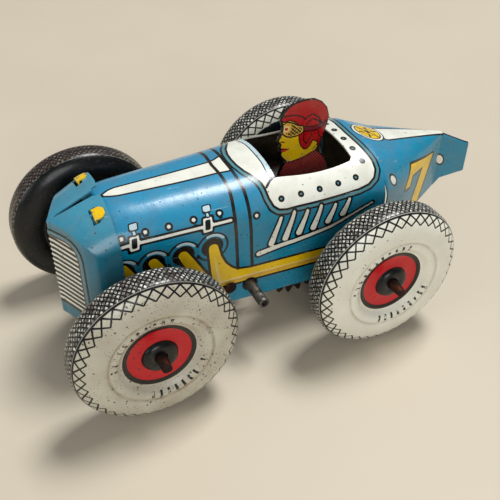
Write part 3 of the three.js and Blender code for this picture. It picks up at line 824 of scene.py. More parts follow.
# ---------------------------------------------------------------- mesh making


def clear_selection() -> None:
    """Leaves edit mode and deselects everything."""
    if bpy.context.object and bpy.context.object.mode != "OBJECT":
        bpy.ops.object.mode_set(mode="OBJECT")
    bpy.ops.object.select_all(action="DESELECT")


def pick(piece: Piece) -> None:
    """Makes a piece the only selected and the active one.

    Args:
        piece: The piece.
    """
    clear_selection()
    piece.select_set(True)
    bpy.context.view_layer.objects.active = piece


def edit_all(piece: Piece) -> None:
    """Enters edit mode on a piece with all of it selected.

    Args:
        piece: The piece.
    """
    pick(piece)
    bpy.ops.object.mode_set(mode="EDIT")
    bpy.ops.mesh.select_all(action="SELECT")


def places(piece: Piece) -> np.ndarray:
    """A mesh's points in millimetres, one row each.

    Args:
        piece: The piece.

    Returns:
        The places.
    """
    flat = np.empty(len(piece.data.vertices) * 3)
    piece.data.vertices.foreach_get("co", flat)
    return flat.reshape(-1, 3) / MM


def move_points(piece: Piece, points: np.ndarray) -> None:
    """Gives a mesh's points new places, in millimetres."""
    piece.data.vertices.foreach_set("co", (points * MM).ravel())
    piece.data.update()


def sheet(name: str, points: np.ndarray) -> Piece:
    """Wraps a flat grid over rows and columns of points.

    Args:
        name: The piece's name.
        points: Places in millimetres, as rows by columns by 3.

    Returns:
        The open sheet.
    """
    rows, columns = points.shape[:2]
    clear_selection()
    bpy.ops.mesh.primitive_grid_add(
        x_subdivisions=columns - 1, y_subdivisions=rows - 1, size=2 * MM
    )
    piece = bpy.context.object
    piece.name = name
    flat = places(piece)
    column = np.rint((flat[:, 0] + 1) / 2 * (columns - 1)).astype(int)
    row = np.rint((flat[:, 1] + 1) / 2 * (rows - 1)).astype(int)
    move_points(piece, points[row, column])
    return piece


def apply(piece: Piece, kind: str, **settings: float | str | Piece) -> None:
    """Adds a modifier to a piece and applies it.

    Args:
        piece: The piece.
        kind: Blender's name for the modifier.
        **settings: The modifier's settings.
    """
    pick(piece)
    modifier = piece.modifiers.new(kind.lower(), kind)
    for key, value in settings.items():
        setattr(modifier, key, value)
    bpy.ops.object.modifier_apply(modifier=modifier.name)


def cut(piece: Piece, tool: Piece, keep: bool = False) -> None:
    """Cuts a closed tool out of a piece, or with keep leaves only what is inside it.

    Args:
        piece: The piece.
        tool: The closed tool, which is used up.
        keep: Whether what lies inside the tool is kept.
    """
    operation = "INTERSECT" if keep else "DIFFERENCE"
    apply(piece, "BOOLEAN", object=tool, operation=operation, solver="MANIFOLD")
    bpy.data.objects.remove(tool)


def tidy_mesh(piece: Piece, outwards: bool = False) -> None:
    """Merges doubled points, and with outwards turns every face out.

    Args:
        piece: The piece.
        outwards: Whether every face is turned out too.
    """
    edit_all(piece)
    bpy.ops.mesh.remove_doubles(threshold=1e-6)
    if outwards:
        bpy.ops.mesh.normals_make_consistent(inside=False)
    bpy.ops.object.mode_set(mode="OBJECT")


def smooth(piece: Piece, degrees: float = 32.0) -> None:
    """Shades a piece smooth, with edges sharper than an angle left crisp."""
    pick(piece)
    bpy.ops.object.shade_smooth_by_angle(angle=math.radians(degrees))


def prism(name: str, outline: Path, low: float, high: float, turn: Matrix) -> Piece:
    """A closed block with a drawn outline, its ends at two heights, then turned into place.

    Args:
        name: The piece's name.
        outline: Corners in millimetres.
        low: Height of one end.
        high: Height of the other end.
        turn: Where the block's own axes go.

    Returns:
        The block.
    """
    clear_selection()
    bpy.ops.mesh.primitive_circle_add(vertices=len(outline), radius=MM, fill_type="NGON")
    piece = bpy.context.object
    piece.name = name
    move_points(piece, np.array([(a, b, low) for a, b in outline]))
    edit_all(piece)
    bpy.ops.mesh.extrude_region_move(TRANSFORM_OT_translate={"value": (0, 0, (high - low) * MM)})
    bpy.ops.object.mode_set(mode="OBJECT")
    piece.data.transform(turn)
    tidy_mesh(piece, outwards=True)
    return piece


def block(name: str, low: Sequence[float], high: Sequence[float]) -> Piece:
    """A rectangular tool between two corners."""
    outline = [(low[0], low[1]), (high[0], low[1]), (high[0], high[1]), (low[0], high[1])]
    return prism(name, outline, low[2], high[2], Matrix.Identity(4))


ALONG_Y = Matrix.Rotation(math.radians(90), 4, "X")


def rod(
    name: str, middle: Sequence[float], radius: float, length: float, sides: int = 32
) -> Piece:
    """A plain cylinder along Y, ready to be shaped.

    Args:
        name: The piece's name.
        middle: Its middle.
        radius: Its radius.
        length: Its length.
        sides: How many sides it has.

    Returns:
        The cylinder.
    """
    clear_selection()
    bpy.ops.mesh.primitive_cylinder_add(vertices=sides, radius=radius * MM, depth=length * MM)
    piece = bpy.context.object
    piece.name = name
    piece.data.transform(Matrix.Translation(Vector(middle) * MM) @ ALONG_Y)
    return piece


def turned(name: str, profile: Path, steps: int) -> Piece:
    """Spins a profile round the Y axis.

    Args:
        name: The piece's name.
        profile: Points as radius and place along Y, in millimetres.
        steps: How many steps make the full turn.

    Returns:
        The turned skin, about the origin.
    """
    clear_selection()
    bpy.ops.mesh.primitive_plane_add(size=MM)
    piece = bpy.context.object
    piece.name = name
    edit_all(piece)
    bpy.ops.mesh.merge(type="CENTER")
    bpy.ops.transform.translate(value=(profile[0][0] * MM, profile[0][1] * MM, 0))
    for (r0, y0), (r1, y1) in zip(profile, profile[1:]):
        bpy.ops.mesh.extrude_region_move(
            TRANSFORM_OT_translate={"value": ((r1 - r0) * MM, (y1 - y0) * MM, 0)}
        )
    bpy.ops.mesh.select_all(action="SELECT")
    bpy.ops.mesh.spin(steps=steps, angle=2 * math.pi, center=(0, 0, 0), axis=(0, 1, 0))
    bpy.ops.object.mode_set(mode="OBJECT")
    tidy_mesh(piece, outwards=True)
    return piece


def copied(piece: Piece, name: str, turn: Matrix) -> Piece:
    """A copy of a piece with its own mesh, moved by a matrix in metres.

    Args:
        piece: What is copied.
        name: The copy's name.
        turn: Where it goes, as a matrix in metres.

    Returns:
        The copy.
    """
    twin = piece.copy()
    twin.data = piece.data.copy()
    twin.name = name
    bpy.context.scene.collection.objects.link(twin)
    twin.data.transform(turn)
    return twin


def store(piece: Piece, drawings: Drawings) -> None:
    """Writes drawings onto a mesh, one value for each point.

    Args:
        piece: The piece.
        drawings: One value for each point, by name.
    """
    for name, values in drawings.items():
        layer = piece.data.attributes.new(name, "FLOAT", "POINT")
        layer.data.foreach_set("value", np.clip(values, -50, 50).astype(np.float32))


def dress(piece: Piece, *materials: Material) -> None:
    """Gives a piece its materials, in slot order.

    Args:
        piece: The piece.
        *materials: The materials, in slot order.
    """
    while len(piece.data.materials) < len(materials):
        piece.data.materials.append(None)
    for at, material in enumerate(materials):
        piece.data.materials[at] = material


def thicken(piece: Piece, thickness: float, lining: int = 1) -> None:
    """Gives an open sheet its thickness inwards, its inside in the material that is given."""
    apply(piece, "SOLIDIFY", thickness=thickness * MM, offset=-1.0, material_offset=lining)


def round_edges(piece: Piece, width: float, angle: float) -> None:
    """Bevels the edges of a piece that turn by more than an angle in radians."""
    apply(piece, "BEVEL", width=width * MM, segments=2, limit_method="ANGLE", angle_limit=angle)


def middle_and_length(node: str) -> tuple[Vector, float]:
    """The middle of a rod's node, and its length along Y, in millimetres.

    Args:
        node: The node's name.

    Returns:
        The middle and the length.
    """
    low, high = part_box(node)
    return (low + high) / 2 / MM, (high.y - low.y) / MM


def fit(piece: Piece, body: str, slot: str, *nodes: str) -> Piece:
    """Puts a finished piece on its body, in the place of its nodes.

    Args:
        piece: The piece.
        body: The body that it moves with.
        slot: The name of a material slot; not used.
        *nodes: The nodes that it stands for.

    Returns:
        The piece.
    """
    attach(piece, body)
    if nodes:
        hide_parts(*nodes)
    LOG.info("%s: %d points, on %s", piece.name, len(piece.data.vertices), body)
    return piece


# ---------------------------------------------------------------- body


@dataclass(frozen=True)
class Station:
    """One cross section of the body: straight walls under a rounded crown."""

    x: float
    half_width: float
    crown: float
    shoulder: float


BODY_STATIONS = (
    Station(-68.9, 0.8, 33.0, 1.0),
    Station(-66.9, 0.8, 34.0, 1.0),
    Station(-57.0, 1.1, 39.6, 1.5),
    Station(-46.0, 7.3, 42.0, 6.5),
    Station(-35.5, 13.4, 44.2, 9.5),
    Station(-26.4, 18.1, 47.6, 11.8),
    Station(-21.0, 18.2, 48.0, 12.0),
    Station(-13.0, 17.9, 47.8, 12.0),
    Station(-4.0, 17.5, 48.2, 12.2),
    Station(4.0, 17.0, 49.2, 12.8),
    Station(12.0, 16.5, 48.5, 12.0),
    Station(22.0, 15.9, 48.2, 12.0),
    Station(34.0, 15.1, 48.1, 12.0),
    Station(46.0, 14.2, 48.0, 12.0),
    Station(48.6, 13.6, 48.0, 12.0),
    Station(52.8, 13.2, 46.9, 11.5),
)


@dataclass
class CarBody:
    """The pressed body: hood, cockpit surround and pinched tail in one printed skin."""

    stations: tuple[Station, ...] = BODY_STATIONS
    bottom: float = 13.8
    tail_bottom: float = 20.6
    fin_bottom: float = 22.6
    fin_x: float = -59.0
    seam_x: float = -26.4
    power: float = 2.3
    sheet_thickness: float = 0.45
    row_step: float = 0.46
    columns: int = 169
    ease_reach: float = 4.0
    hole_front: Point = (4.8, 10.4)
    hole_bow: Point = (-8.0, 12.2)
    hole_rear: Point = (-18.8, 9.6)
    port_x: tuple[float, ...] = (25.2, 33.0, 40.8, 48.6)
    port_v: float = 23.9
    pipe_height: float = 22.3
    pipe_rear_x: float = -26.0
    riser_top: float = 34.2
    badge_x: float = -30.2
    numeral_middle: float = -44.5
    buckles: tuple[Point, ...] = ((44.8, 16.2), (25.8, 17.1))
    buckle_lean: float = 0.17
    hood_rivets: tuple[Point, ...] = (
        (47.6, 14.0), (41.6, 14.2), (35.6, 14.6), (29.1, 14.8), (22.2, 15.1), (12.7, 18.7),
    )
    inks: tuple[Ink, ...] = (
        Ink("ports", 0.0, Pigment.BLACK),
        # the ring inside each port takes the darker shaded side blue: painted shade
        Ink("ports", -0.6, Pigment.BLUE),
        Ink("port_shine", 0.0, Pigment.PALE_BLUE),
        Ink("port_discs", 0.0, Pigment.BLACK),
        Ink("yellow", 0.75, Pigment.BLACK),
        Ink("yellow", 0.0, Pigment.YELLOW),
        Ink("pipe_shade", 0.0, Pigment.OLD_GOLD),
        Ink("pipe_shine", 0.0, Pigment.CREAM),
        Ink("surround", 1.95, Pigment.BLACK),
        Ink("surround", 1.4, Pigment.PINSTRIPE),
        Ink("surround", 0.65, Pigment.BLACK),
        Ink("surround", 0.0, Pigment.WHITE),
        Ink("flash", 0.62, Pigment.BLACK),
        Ink("flash", 0.0, Pigment.WHITE),
        Ink("lines", 0.0, Pigment.BLACK),
        Ink("white", 0.58, Pigment.BLACK),
        Ink("white", 0.0, Pigment.WHITE),
        Ink("black", 0.0, Pigment.BLACK),
        Ink("pale", 0.34, Pigment.BLACK),
        Ink("pale", 0.0, Pigment.PALE_BLUE),
        Ink("dot_centres", 0.0, Pigment.PINSTRIPE),
        Ink("badge", 0.0, Pigment.BLACK),
        Ink("badge", -0.4, Pigment.WHITE),
        Ink("badge", -1.0, Pigment.BLACK),
        Ink("badge", -1.35, Pigment.YELLOW),
        Ink("spokes", 0.0, Pigment.BLACK),
    )
    hood_flash: tuple[Point, ...] = (
        (48.2, 0.2), (46.2, 1.3), (44.4, 1.8), (30, 2.9), (18.4, 3.4), (14.8, 3.9), (14.8, -2.9),
        (16.6, -1.9), (18.4, -1.5), (30, -1.3), (44.4, -1.3), (46.2, -0.9),
    )

    def section(self, x: np.ndarray) -> tuple[np.ndarray, np.ndarray, np.ndarray]:
        """Half width, crown height and shoulder depth along the body, eased ahead of the seam.

        Args:
            x: Places along the car.

        Returns:
            Half widths, crown heights and shoulder depths.
        """
        knots = np.array([(s.x, s.half_width, s.crown, s.shoulder) for s in self.stations])
        reach = np.minimum(x - self.seam_x, self.stations[-1].x - x)
        reach = np.clip(reach, 0, self.ease_reach)
        samples = [x + reach * part for part in np.linspace(-1, 1, 9)]
        return tuple(
            np.mean([np.interp(s, knots[:, 0], knots[:, column]) for s in samples], axis=0)
            for column in (1, 2, 3)
        )

    def skin_points(self) -> np.ndarray:
        """Rows of points round each section, evenly spread from one lower edge to the other.

        Returns:
            Places as rows by columns by 3.
        """
        first, last = self.stations[0].x, self.stations[-1].x
        x = np.linspace(first, last, int((last - first) / self.row_step) + 1)
        seam_row = np.argmin(np.abs(x - self.seam_x))
        x[seam_row] = self.seam_x
        rows = []
        for at, half, crown, shoulder in zip(x, *self.section(x)):
            angle = np.linspace(math.pi / 2, 0, 121)
            across = half * np.cos(angle) ** (2 / self.power)
            up = crown - shoulder + shoulder * np.sin(angle) ** (2 / self.power)
            across, up = np.append(across, half), np.append(up, self.bottom)
            run = np.concatenate([[0], np.cumsum(np.hypot(np.diff(across), np.diff(up)))])
            even = np.linspace(0, run[-1], self.columns // 2 + 1)
            side = np.stack([np.interp(even, run, across), np.interp(even, run, up)], axis=1)
            other = side[:0:-1] * (-1, 1)
            ring = np.concatenate([other, side])
            rows.append(np.column_stack([np.full(len(ring), at), ring[::-1]]))
        return np.array(rows)

    def around(self, points: np.ndarray) -> np.ndarray:
        """Distance of each point from the crown's centre line, measured round the section.

        Args:
            points: Places in millimetres, one row each.

        Returns:
            The distances.
        """
        half, crown, shoulder = self.section(points[:, 0])
        base = crown - shoulder
        turns = np.linspace(0, math.pi / 2, 64)
        ratios = np.linspace(0.3, 2.6, 24)
        lengths = np.array([self.crown_run(ratio, turns) for ratio in ratios])
        up = np.clip((points[:, 2] - base) / shoulder, 0, None) ** (self.power / 2)
        over = (np.abs(points[:, 1]) / half) ** (self.power / 2)
        turn = np.clip(np.arctan2(over, up), 0, math.pi / 2)
        row = (shoulder / half - ratios[0]) / (ratios[1] - ratios[0])
        row = np.clip(row, 0, len(ratios) - 1.001)
        column = turn / turns[1]
        low, left = row.astype(int), np.minimum(column.astype(int), len(turns) - 2)
        a, b = row - low, column - left
        run = (lengths[low, left] * (1 - b) + lengths[low, left + 1] * b) * (1 - a)
        run += (lengths[low + 1, left] * (1 - b) + lengths[low + 1, left + 1] * b) * a
        return run * half + np.clip(base - points[:, 2], 0, None)

    def crown_run(self, ratio: float, turns: np.ndarray) -> np.ndarray:
        """Length of a crown of unit half width from its top out to each angle.

        Args:
            ratio: Shoulder depth over half width.
            turns: Angles from the top, in radians.

        Returns:
            The lengths.
        """
        fine = np.linspace(0, math.pi / 2, 631)
        across = np.sin(fine) ** (2 / self.power)
        up = ratio * np.cos(fine) ** (2 / self.power)
        run = np.concatenate([[0], np.cumsum(np.hypot(np.diff(across), np.diff(up)))])
        return np.interp(turns, fine, run)

    def hole_outline(self) -> list[Point]:
        """The cockpit opening seen from above, with bowed sides.

        Returns:
            Its corners.
        """
        start, bow = np.array(self.hole_front), np.array(self.hole_bow)
        end = np.array(self.hole_rear) + (1.0, 1.2)
        shares = np.linspace(0, 1, 12)[:, None]
        side = (1 - shares) ** 2 * start + 2 * shares * (1 - shares) * bow + shares**2 * end
        return mirrored([tuple(point) for point in side] + [self.hole_rear])

    def build(self, printed: Material, inside: Material) -> Piece:
        """Wraps, thickens, cuts and prints the skin.

        Args:
            printed: Finish of the outside.
            inside: Finish of the inside.

        Returns:
            The body skin.
        """
        skin = sheet("body_skin", self.skin_points())
        skin.data.materials.append(printed)
        skin.data.materials.append(inside)
        thicken(skin, self.sheet_thickness)
        self.cut_openings(skin)
        store(skin, self.drawings(places(skin)))
        smooth(skin, 38)
        return fit(skin, "chassis", "body_print", "body_shell")

    def cut_openings(self, skin: Piece) -> None:
        """Cuts the cockpit, the step under the tail, the folded dart and the axle holes.

        Args:
            skin: The body skin.
        """
        cut(skin, prism("cockpit_tool", self.hole_outline(), 37, 60, Matrix.Identity(4)))
        cut(skin, block("tail_tool", (-80, -30, 0), (self.seam_x, 30, self.tail_bottom)))
        notch = [(-80, 0), (self.fin_x + 1.8, 0), (self.fin_x + 1.8, self.tail_bottom),
                 (self.fin_x - 0.4, self.fin_bottom), (-80, self.fin_bottom)]
        cut(skin, prism("fin_tool", notch, -10, 10, ALONG_Y))
        dart = [
            (self.seam_x - 0.3, 8.0), (self.seam_x + 0.3, 8.0), (self.seam_x + 0.7, 36.5),
            (self.seam_x + 1.0, 41.8), (self.seam_x - 0.25, 36.0),
        ]
        cut(skin, prism("dart_tool", dart, -25, -12, ALONG_Y))
        cut(skin, prism("dart_tool", dart, 12, 25, ALONG_Y))
        for node, start, end, radius in (
            ("front_axle", -25, 25, 1.85), ("rear_axle", -25, 25, 1.85),
            ("winding_arbor", 10, 20, 2.3),
        ):
            x, _, z = middle_and_length(node)[0]
            cut(skin, rod("hole_tool", (x, (start + end) / 2, z), radius, end - start))

    def drawings(self, points: np.ndarray) -> Drawings:
        """Every printed shape as a distance at each point of the skin.

        Args:
            points: Places in millimetres, one row each.

        Returns:
            The distances by drawing.
        """
        x, z = points[:, 0], points[:, 2]
        around = self.around(points)
        side = Sketch(x, around)
        wall = Sketch(x, z)
        left = np.where(points[:, 1] < 0, 2 * self.numeral_middle - x, x)
        drawn = {
            "surround": side.patch(self.surround_outline()),
            "lines": self.cowl_lines(side),
            "white": self.white_shapes(side),
            "black": self.black_shapes(side),
            "pale": np.minimum(self.buckle_clips(side), self.screen_edge(side)),
            "flash": Sketch(x, np.sign(points[:, 1]) * around).patch(self.hood_flash),
            "badge": side.disc(self.badge_x, 0, 5.0),
            "spokes": self.badge_spokes(Sketch(x, points[:, 1])),
            "fold": self.folds(points),
        }
        drawn.update(self.exhaust(side, wall))
        numeral = Sketch(left, around).patch(
            [(-39.4, 12), (-52.9, 7.6), (-46.9, 25.5), (-42.6, 25.5), (-47.0, 12.2),
             (-40.6, 15.4), (-39.8, 19.3), (-36.9, 20.6)]
        )
        drawn["yellow"] = np.minimum(drawn["yellow"], numeral)
        drawn["dot_centres"] = self.surround_dots(side, 0.38)
        return drawn

    def surround_outline(self) -> list[Point]:
        """Edge of the white field that runs round the cockpit and up to the windscreen.

        Returns:
            Its corners.
        """
        return mirrored([
            (12.3, 0), (12.1, 2.8), (11.3, 5.6), (10.0, 8.0), (8.9, 10.2), (8.4, 12.4),
            (8.2, 15.4), (7.5, 17.6), (6.2, 18.9), (4.2, 19.4), (-6, 19.2), (-17.5, 19.0),
            (-20.4, 18.5), (-22.4, 17.2), (-23.5, 15.2), (-23.7, 12.6), (-23.1, 8.6),
            (-22.5, 4.0), (-22.3, 0),
        ])

    def surround_dots(self, side: Sketch, radius: float) -> np.ndarray:
        """The ringed dots along the white field.

        Args:
            side: Layout along the car and round the section.
            radius: The dots' radius.

        Returns:
            The distances.
        """
        spots = [(5.2, 16.6), (-0.5, 16.6), (-6.1, 16.4), (-11.8, 16.2), (-17.3, 16.0),
                 (-21.1, 12.0), (-20.7, 7.2), (-20.6, 2.5)]
        return np.min([side.disc(a, b, radius) for a, b in spots], axis=0)

    def cowl_lines(self, side: Sketch) -> np.ndarray:
        """Two black lines over the cowl.

        Args:
            side: Layout along the car and round the section.

        Returns:
            The distances.
        """
        rear = [(14.5, 0), (14.3, 6), (14.1, 11.5), (14.4, 16), (14.6, 20), (14.1, 34.6)]
        front = [(18.2, 0), (17.7, 6), (17.7, 10.5), (18.4, 15.5), (18.7, 20), (18.2, 34)]
        return np.minimum(side.stroke(rear, 0.46), side.stroke(front, 0.46))

    def white_shapes(self, side: Sketch) -> np.ndarray:
        """Hood strip, its rivets and buckles, flank darts, tail flash and tail spots.

        Args:
            side: Layout along the car and round the section.

        Returns:
            The distances.
        """
        shapes = [
            side.stroke([(49.5, 16.0), (34, 16.9), (19.6, 17.7)], 0.36),
            side.patch(mirrored([(-34.6, 3.3), (-46, 2.1), (-57.3, 0.9), (-58, 0.2), (-70, 0.2)])),
            side.disc(-29.5, 18.2, 1.25),
            side.disc(-58.0, 9.8, 1.5),
        ]
        shapes += [side.disc(*rivet, 0.52) for rivet in self.hood_rivets]
        shapes += [side.slab(spot, (1.2, 1.8), self.buckle_lean) for spot in self.buckles]
        return np.min(shapes + self.flank_darts(side), axis=0)

    def flank_darts(self, side: Sketch) -> list[np.ndarray]:
        """A run of leaning speed darts over a long sweeping tail on the flank.

        Args:
            side: Layout along the car and round the section.

        Returns:
            The distances to each.
        """
        darts = [side.stroke([(12.2, 31.2), (2.0, 30.6), (-9.0, 28.6), (-21.5, 24.4)], 0.75, 0.3)]
        for step, (start, top, foot) in enumerate(
            ((8.6, 21.6, 29.0), (4.6, 20.9, 28.8), (0.6, 21.4, 28.0), (-3.6, 20.9, 27.4),
             (-8.0, 21.6, 26.4), (-12.4, 21.2, 25.2))
        ):
            lean = 2.6 - 0.15 * step
            darts.append(side.stroke([(start - lean, top), (start, foot)], 0.42, 0.9))
        return darts

    def black_shapes(self, side: Sketch) -> np.ndarray:
        """Small black details printed over the white: buckle middles, dots and the screen line.

        Args:
            side: Layout along the car and round the section.

        Returns:
            The distances.
        """
        shapes = [
            self.surround_dots(side, 0.92),
            side.stroke([(4.9, 10.4), (6.4, 11.0), (8.2, 12.6)], 0.36),
        ]
        shapes += [side.slab(spot, (0.72, 1.3), self.buckle_lean) for spot in self.buckles]
        return np.min(shapes, axis=0)

    def buckle_clips(self, side: Sketch) -> np.ndarray:
        """Pale clips above the hood buckles.

        Args:
            side: Layout along the car and round the section.

        Returns:
            The distances.
        """
        plates, necks = ((44.1, 12.1), (25.1, 13.0)), ((44.3, 13.8), (25.3, 14.7))
        clips = [side.slab(spot, (0.95, 0.75), self.buckle_lean) for spot in plates]
        clips += [side.slab(spot, (0.32, 0.4)) for spot in necks]
        return np.min(clips, axis=0)

    def screen_edge(self, side: Sketch) -> np.ndarray:
        """The pale lip behind the windscreen's white field."""
        return side.patch(mirrored([(5.9, 0), (5.9, 5), (6.3, 10.2), (4, 10.2), (4, 0)]))

    def badge_spokes(self, top: Sketch) -> np.ndarray:
        """A plain spoked cap inside the round badge on the rear deck.

        Args:
            top: Layout seen from above.

        Returns:
            The distances.
        """
        spokes = [top.disc(self.badge_x, 0, 0.7), np.abs(top.disc(self.badge_x, 0, 2.1)) - 0.14]
        for turn in np.radians(np.arange(0, 360, 60) + 12):
            tip = (self.badge_x + 3.3 * math.cos(turn), 3.3 * math.sin(turn))
            spokes.append(top.stroke([(self.badge_x, 0), tip], 0.16, 0.34))
        return np.min(spokes, axis=0)

    def exhaust(self, side: Sketch, wall: Sketch) -> Drawings:
        """Four ports with their pipes running back into one long pipe.

        Args:
            side: Layout along the car and round the section.
            wall: Layout along the car and up its side.

        Returns:
            The distances by drawing.
        """
        low, top, rear = self.pipe_height, self.riser_top, self.pipe_rear_x
        spots = [(x, self.port_v) for x in self.port_x]
        ports = np.min([side.disc(*spot, 4.45) for spot in spots], axis=0)
        shine = [side.arc(spot, 3.7, 215, 290, 0.42) for spot in spots]
        riser = [
            (26.2, top), (26.0, 30.5), (25.7, 26.3), (25.0, 21), (rear, 21), (rear, low + 2.0),
            (14.6, low + 2.0), (18.4, 24.9), (20.2, 26.2), (21.8, 28.3), (22.9, 30.8), (23.6, top),
        ]
        yellow = [
            wall.patch(riser),
            wall.disc(24.9, top, 1.3),
            wall.stroke([(24.0, low), (rear, low)], 2.0),
        ]
        for x in self.port_x[1:]:
            yellow.append(wall.stroke([(x, top), (x - 1.4, 31.4), (x - 6.0, low)], 1.3, 1.7))
        return {
            "ports": ports,
            "port_discs": np.min([side.disc(*spot, 3.0) for spot in spots], axis=0),
            "port_shine": np.maximum(np.min(shine, axis=0), ports + 0.45),
            "yellow": np.min(yellow, axis=0),
            "pipe_shade": wall.stroke([(24.0, low - 1.15), (rear, low - 1.15)], 0.5),
            "pipe_shine": np.minimum(
                wall.stroke([(23.4, low - 0.4), (rear, low - 0.4)], 0.26),
                wall.stroke([(24.6, 31.2), (24.3, 27.6), (23.4, low - 0.4)], 0.15, 0.4),
            ),
        }

    def folds(self, points: np.ndarray) -> np.ndarray:
        """Distance to the nearest cut or folded edge, where the print wears first.

        Args:
            points: Places in millimetres, one row each.

        Returns:
            The distances.
        """
        hole = Sketch(points[:, 0], points[:, 1]).stroke(
            [*self.hole_outline(), self.hole_outline()[0]], 0.0
        )
        hole = np.where(points[:, 2] > 40, hole, 50)
        bottom = np.where(points[:, 0] > self.seam_x, self.bottom, self.tail_bottom)
        seam = np.abs(points[:, 0] - self.seam_x)
        ridge = np.where(points[:, 0] < self.seam_x, np.abs(points[:, 1]), 50)
        return np.minimum.reduce([hole, points[:, 2] - bottom, seam, ridge])


# ---------------------------------------------------------------- nose


@dataclass
class NoseCap:
    """The separate vee-fronted nose with its slatted grille and the two tabs that hold it."""

    rear_x: float = 48.8
    half_width: float = 14.7
    bottom: float = 14.2
    crease_x: float = 62.8
    crown_rear: float = 49.3
    crown_front: float = 44.2
    sheet_thickness: float = 0.45
    slat_pitch: float = 1.62
    slat_top: float = 40.6
    slat_bottom: float = 19.4
    slat_relief: float = 0.22
    tab_x: float = 52.6
    tab_y: float = 7.2
    tab_height: float = 47.85
    spring: float = 1.7
    inks: tuple[Ink, ...] = (
        Ink("frame", 0.0, Pigment.BLACK),
        Ink("frame", -0.55, Pigment.PINSTRIPE),
        Ink("frame", -1.05, Pigment.SLATE),
        Ink("frame", -1.55, Pigment.BLACK),
        Ink("slats", 0.0, Pigment.IVORY),
    )

    def half_outline(self) -> np.ndarray:
        """One side of the plan from the rear edge to the crease, with rounded corners.

        Returns:
            Its corners.
        """
        corners = [
            (self.rear_x, self.half_width), (53.4, 14.55), (54.6, 14.3), (55.6, 13.7), (56.4, 12.9),
            (57.2, 11.8), (62.1, 1.25), (62.6, 0.5), (self.crease_x, 0.0),
        ]
        return np.array(corners)

    def plan(self, count: int = 111) -> np.ndarray:
        """Points spread evenly along the whole plan, from the left rear edge to the right.

        Args:
            count: How many points.

        Returns:
            The points, one row each.
        """
        half = self.half_outline()
        whole = np.concatenate([half, half[-2::-1] * (1, -1)])
        run = self.runs(whole)
        even = np.linspace(0, run[-1], count)
        return np.stack([np.interp(even, run, whole[:, axis]) for axis in (0, 1)], axis=1)

    @staticmethod
    def runs(path: np.ndarray) -> np.ndarray:
        """Distance along a path at each of its points."""
        return np.concatenate([[0], np.cumsum(np.hypot(*np.diff(path, axis=0).T))])

    def roof(self, x: np.ndarray, y: np.ndarray) -> np.ndarray:
        """Height of the rounded top, which falls towards the crease.

        Args:
            x: Places along the car.
            y: Places across the car.

        Returns:
            The heights.
        """
        share = np.clip((x - self.rear_x) / (self.crease_x - self.rear_x), 0, 1)
        crown = self.crown_rear + (self.crown_front - self.crown_rear) * share**1.15
        over = np.clip(np.abs(y) / (self.half_width + 0.6), 0, 1)
        return crown - 12 + 12 * (1 - over**2.3) ** (1 / 2.3) + self.sprung(x, y)

    def sprung(self, x: np.ndarray, y: np.ndarray) -> np.ndarray:
        """How far the right flap of the roof has sprung up from the hood."""
        rearward = np.clip((61 - x) / 10, 0, 1) ** 1.4
        return self.spring * rearward * np.clip(-y / 2.5, 0, 1) * np.clip((y + 14.6) / 4.5, 0, 1)

    def along_front(self, x: np.ndarray, y: np.ndarray) -> np.ndarray:
        """Distance round the plan from the crease.

        Args:
            x: Places along the car.
            y: Places across the car.

        Returns:
            The distances.
        """
        half = self.half_outline()[::-1]
        run = self.runs(half)
        behind = np.clip(53.4 - x, 0, None) * (np.abs(y) > 14.4)
        return np.interp(np.abs(y), half[:, 1], run) + behind

    def build(self, printed: Material, inside: Material) -> Piece:
        """Wraps a wall and a roof round the plan, embosses the slats and cuts the slots.

        Args:
            printed: Finish of the outside.
            inside: Finish of the inside.

        Returns:
            The nose cap.
        """
        cap = sheet("nose_cowl", self.skin_points())
        tidy_mesh(cap)
        cap.data.materials.append(printed)
        cap.data.materials.append(inside)
        thicken(cap, self.sheet_thickness)
        for side in (1, -1):
            y = side * (self.tab_y - 0.3)
            low, high = (self.tab_x - 1.3, y - 2.3, 40), (self.tab_x + 0.5, y + 2.3, 60)
            cut(cap, block("slot_tool", low, high))
        slit = mirrored([
            (self.rear_x - 1, 1.5), (self.rear_x + 1.2, 1.3), (self.rear_x + 1.6, 0.75),
            (self.rear_x + 5.0, 0.62), (self.crease_x - 4.4, 0.4), (self.crease_x - 2.2, 0.12),
        ])
        cut(cap, prism("slit_tool", slit, 40, 60, Matrix.Identity(4)))
        store(cap, self.drawings(places(cap)))
        smooth(cap, 40)
        return fit(cap, "chassis", "nose_print", "nose_cap")

    def skin_points(self) -> np.ndarray:
        """Rows up the wall and then in over the roof to the centre line.

        Returns:
            Places as rows by columns by 3.
        """
        plan = self.plan()
        top = self.roof(plan[:, 0], plan[:, 1])
        rows = []
        for share in np.linspace(0, 1, 125):
            z = self.bottom + (top - self.bottom) * share
            relief = self.relief(self.along_front(plan[:, 0], plan[:, 1]), z)
            rows.append(np.column_stack([plan[:, 0] + relief, plan[:, 1], z]))
        spine_x = np.clip(plan[:, 0], None, self.crease_x)
        spine_x = spine_x - 3.0 * np.clip(plan[:, 0] - 58, 0, None) / 4.8
        for share in np.linspace(0, 1, 42)[1:]:
            x = plan[:, 0] + (spine_x - plan[:, 0]) * share
            y = plan[:, 1] * (1 - share)
            rows.append(np.column_stack([x, y, self.roof(x, y)]))
        points = np.array(rows)
        for _ in range(3):
            soft = (points[:-2] + 2 * points[1:-1] + points[2:]) / 4
            points[119:131] = soft[118:130]
        return points[::-1]

    def grille(self, front: Sketch) -> np.ndarray:
        """Distance to the rounded frame round the slats.

        Args:
            front: Layout up and round the front.

        Returns:
            The distances.
        """
        edge = [(42.3, 0), (42.9, 6.0), (42.7, 8.6), (41.6, 10.6), (39.8, 11.9), (37.4, 12.4)]
        return front.patch(mirrored([*edge, (5, 12.4)]))

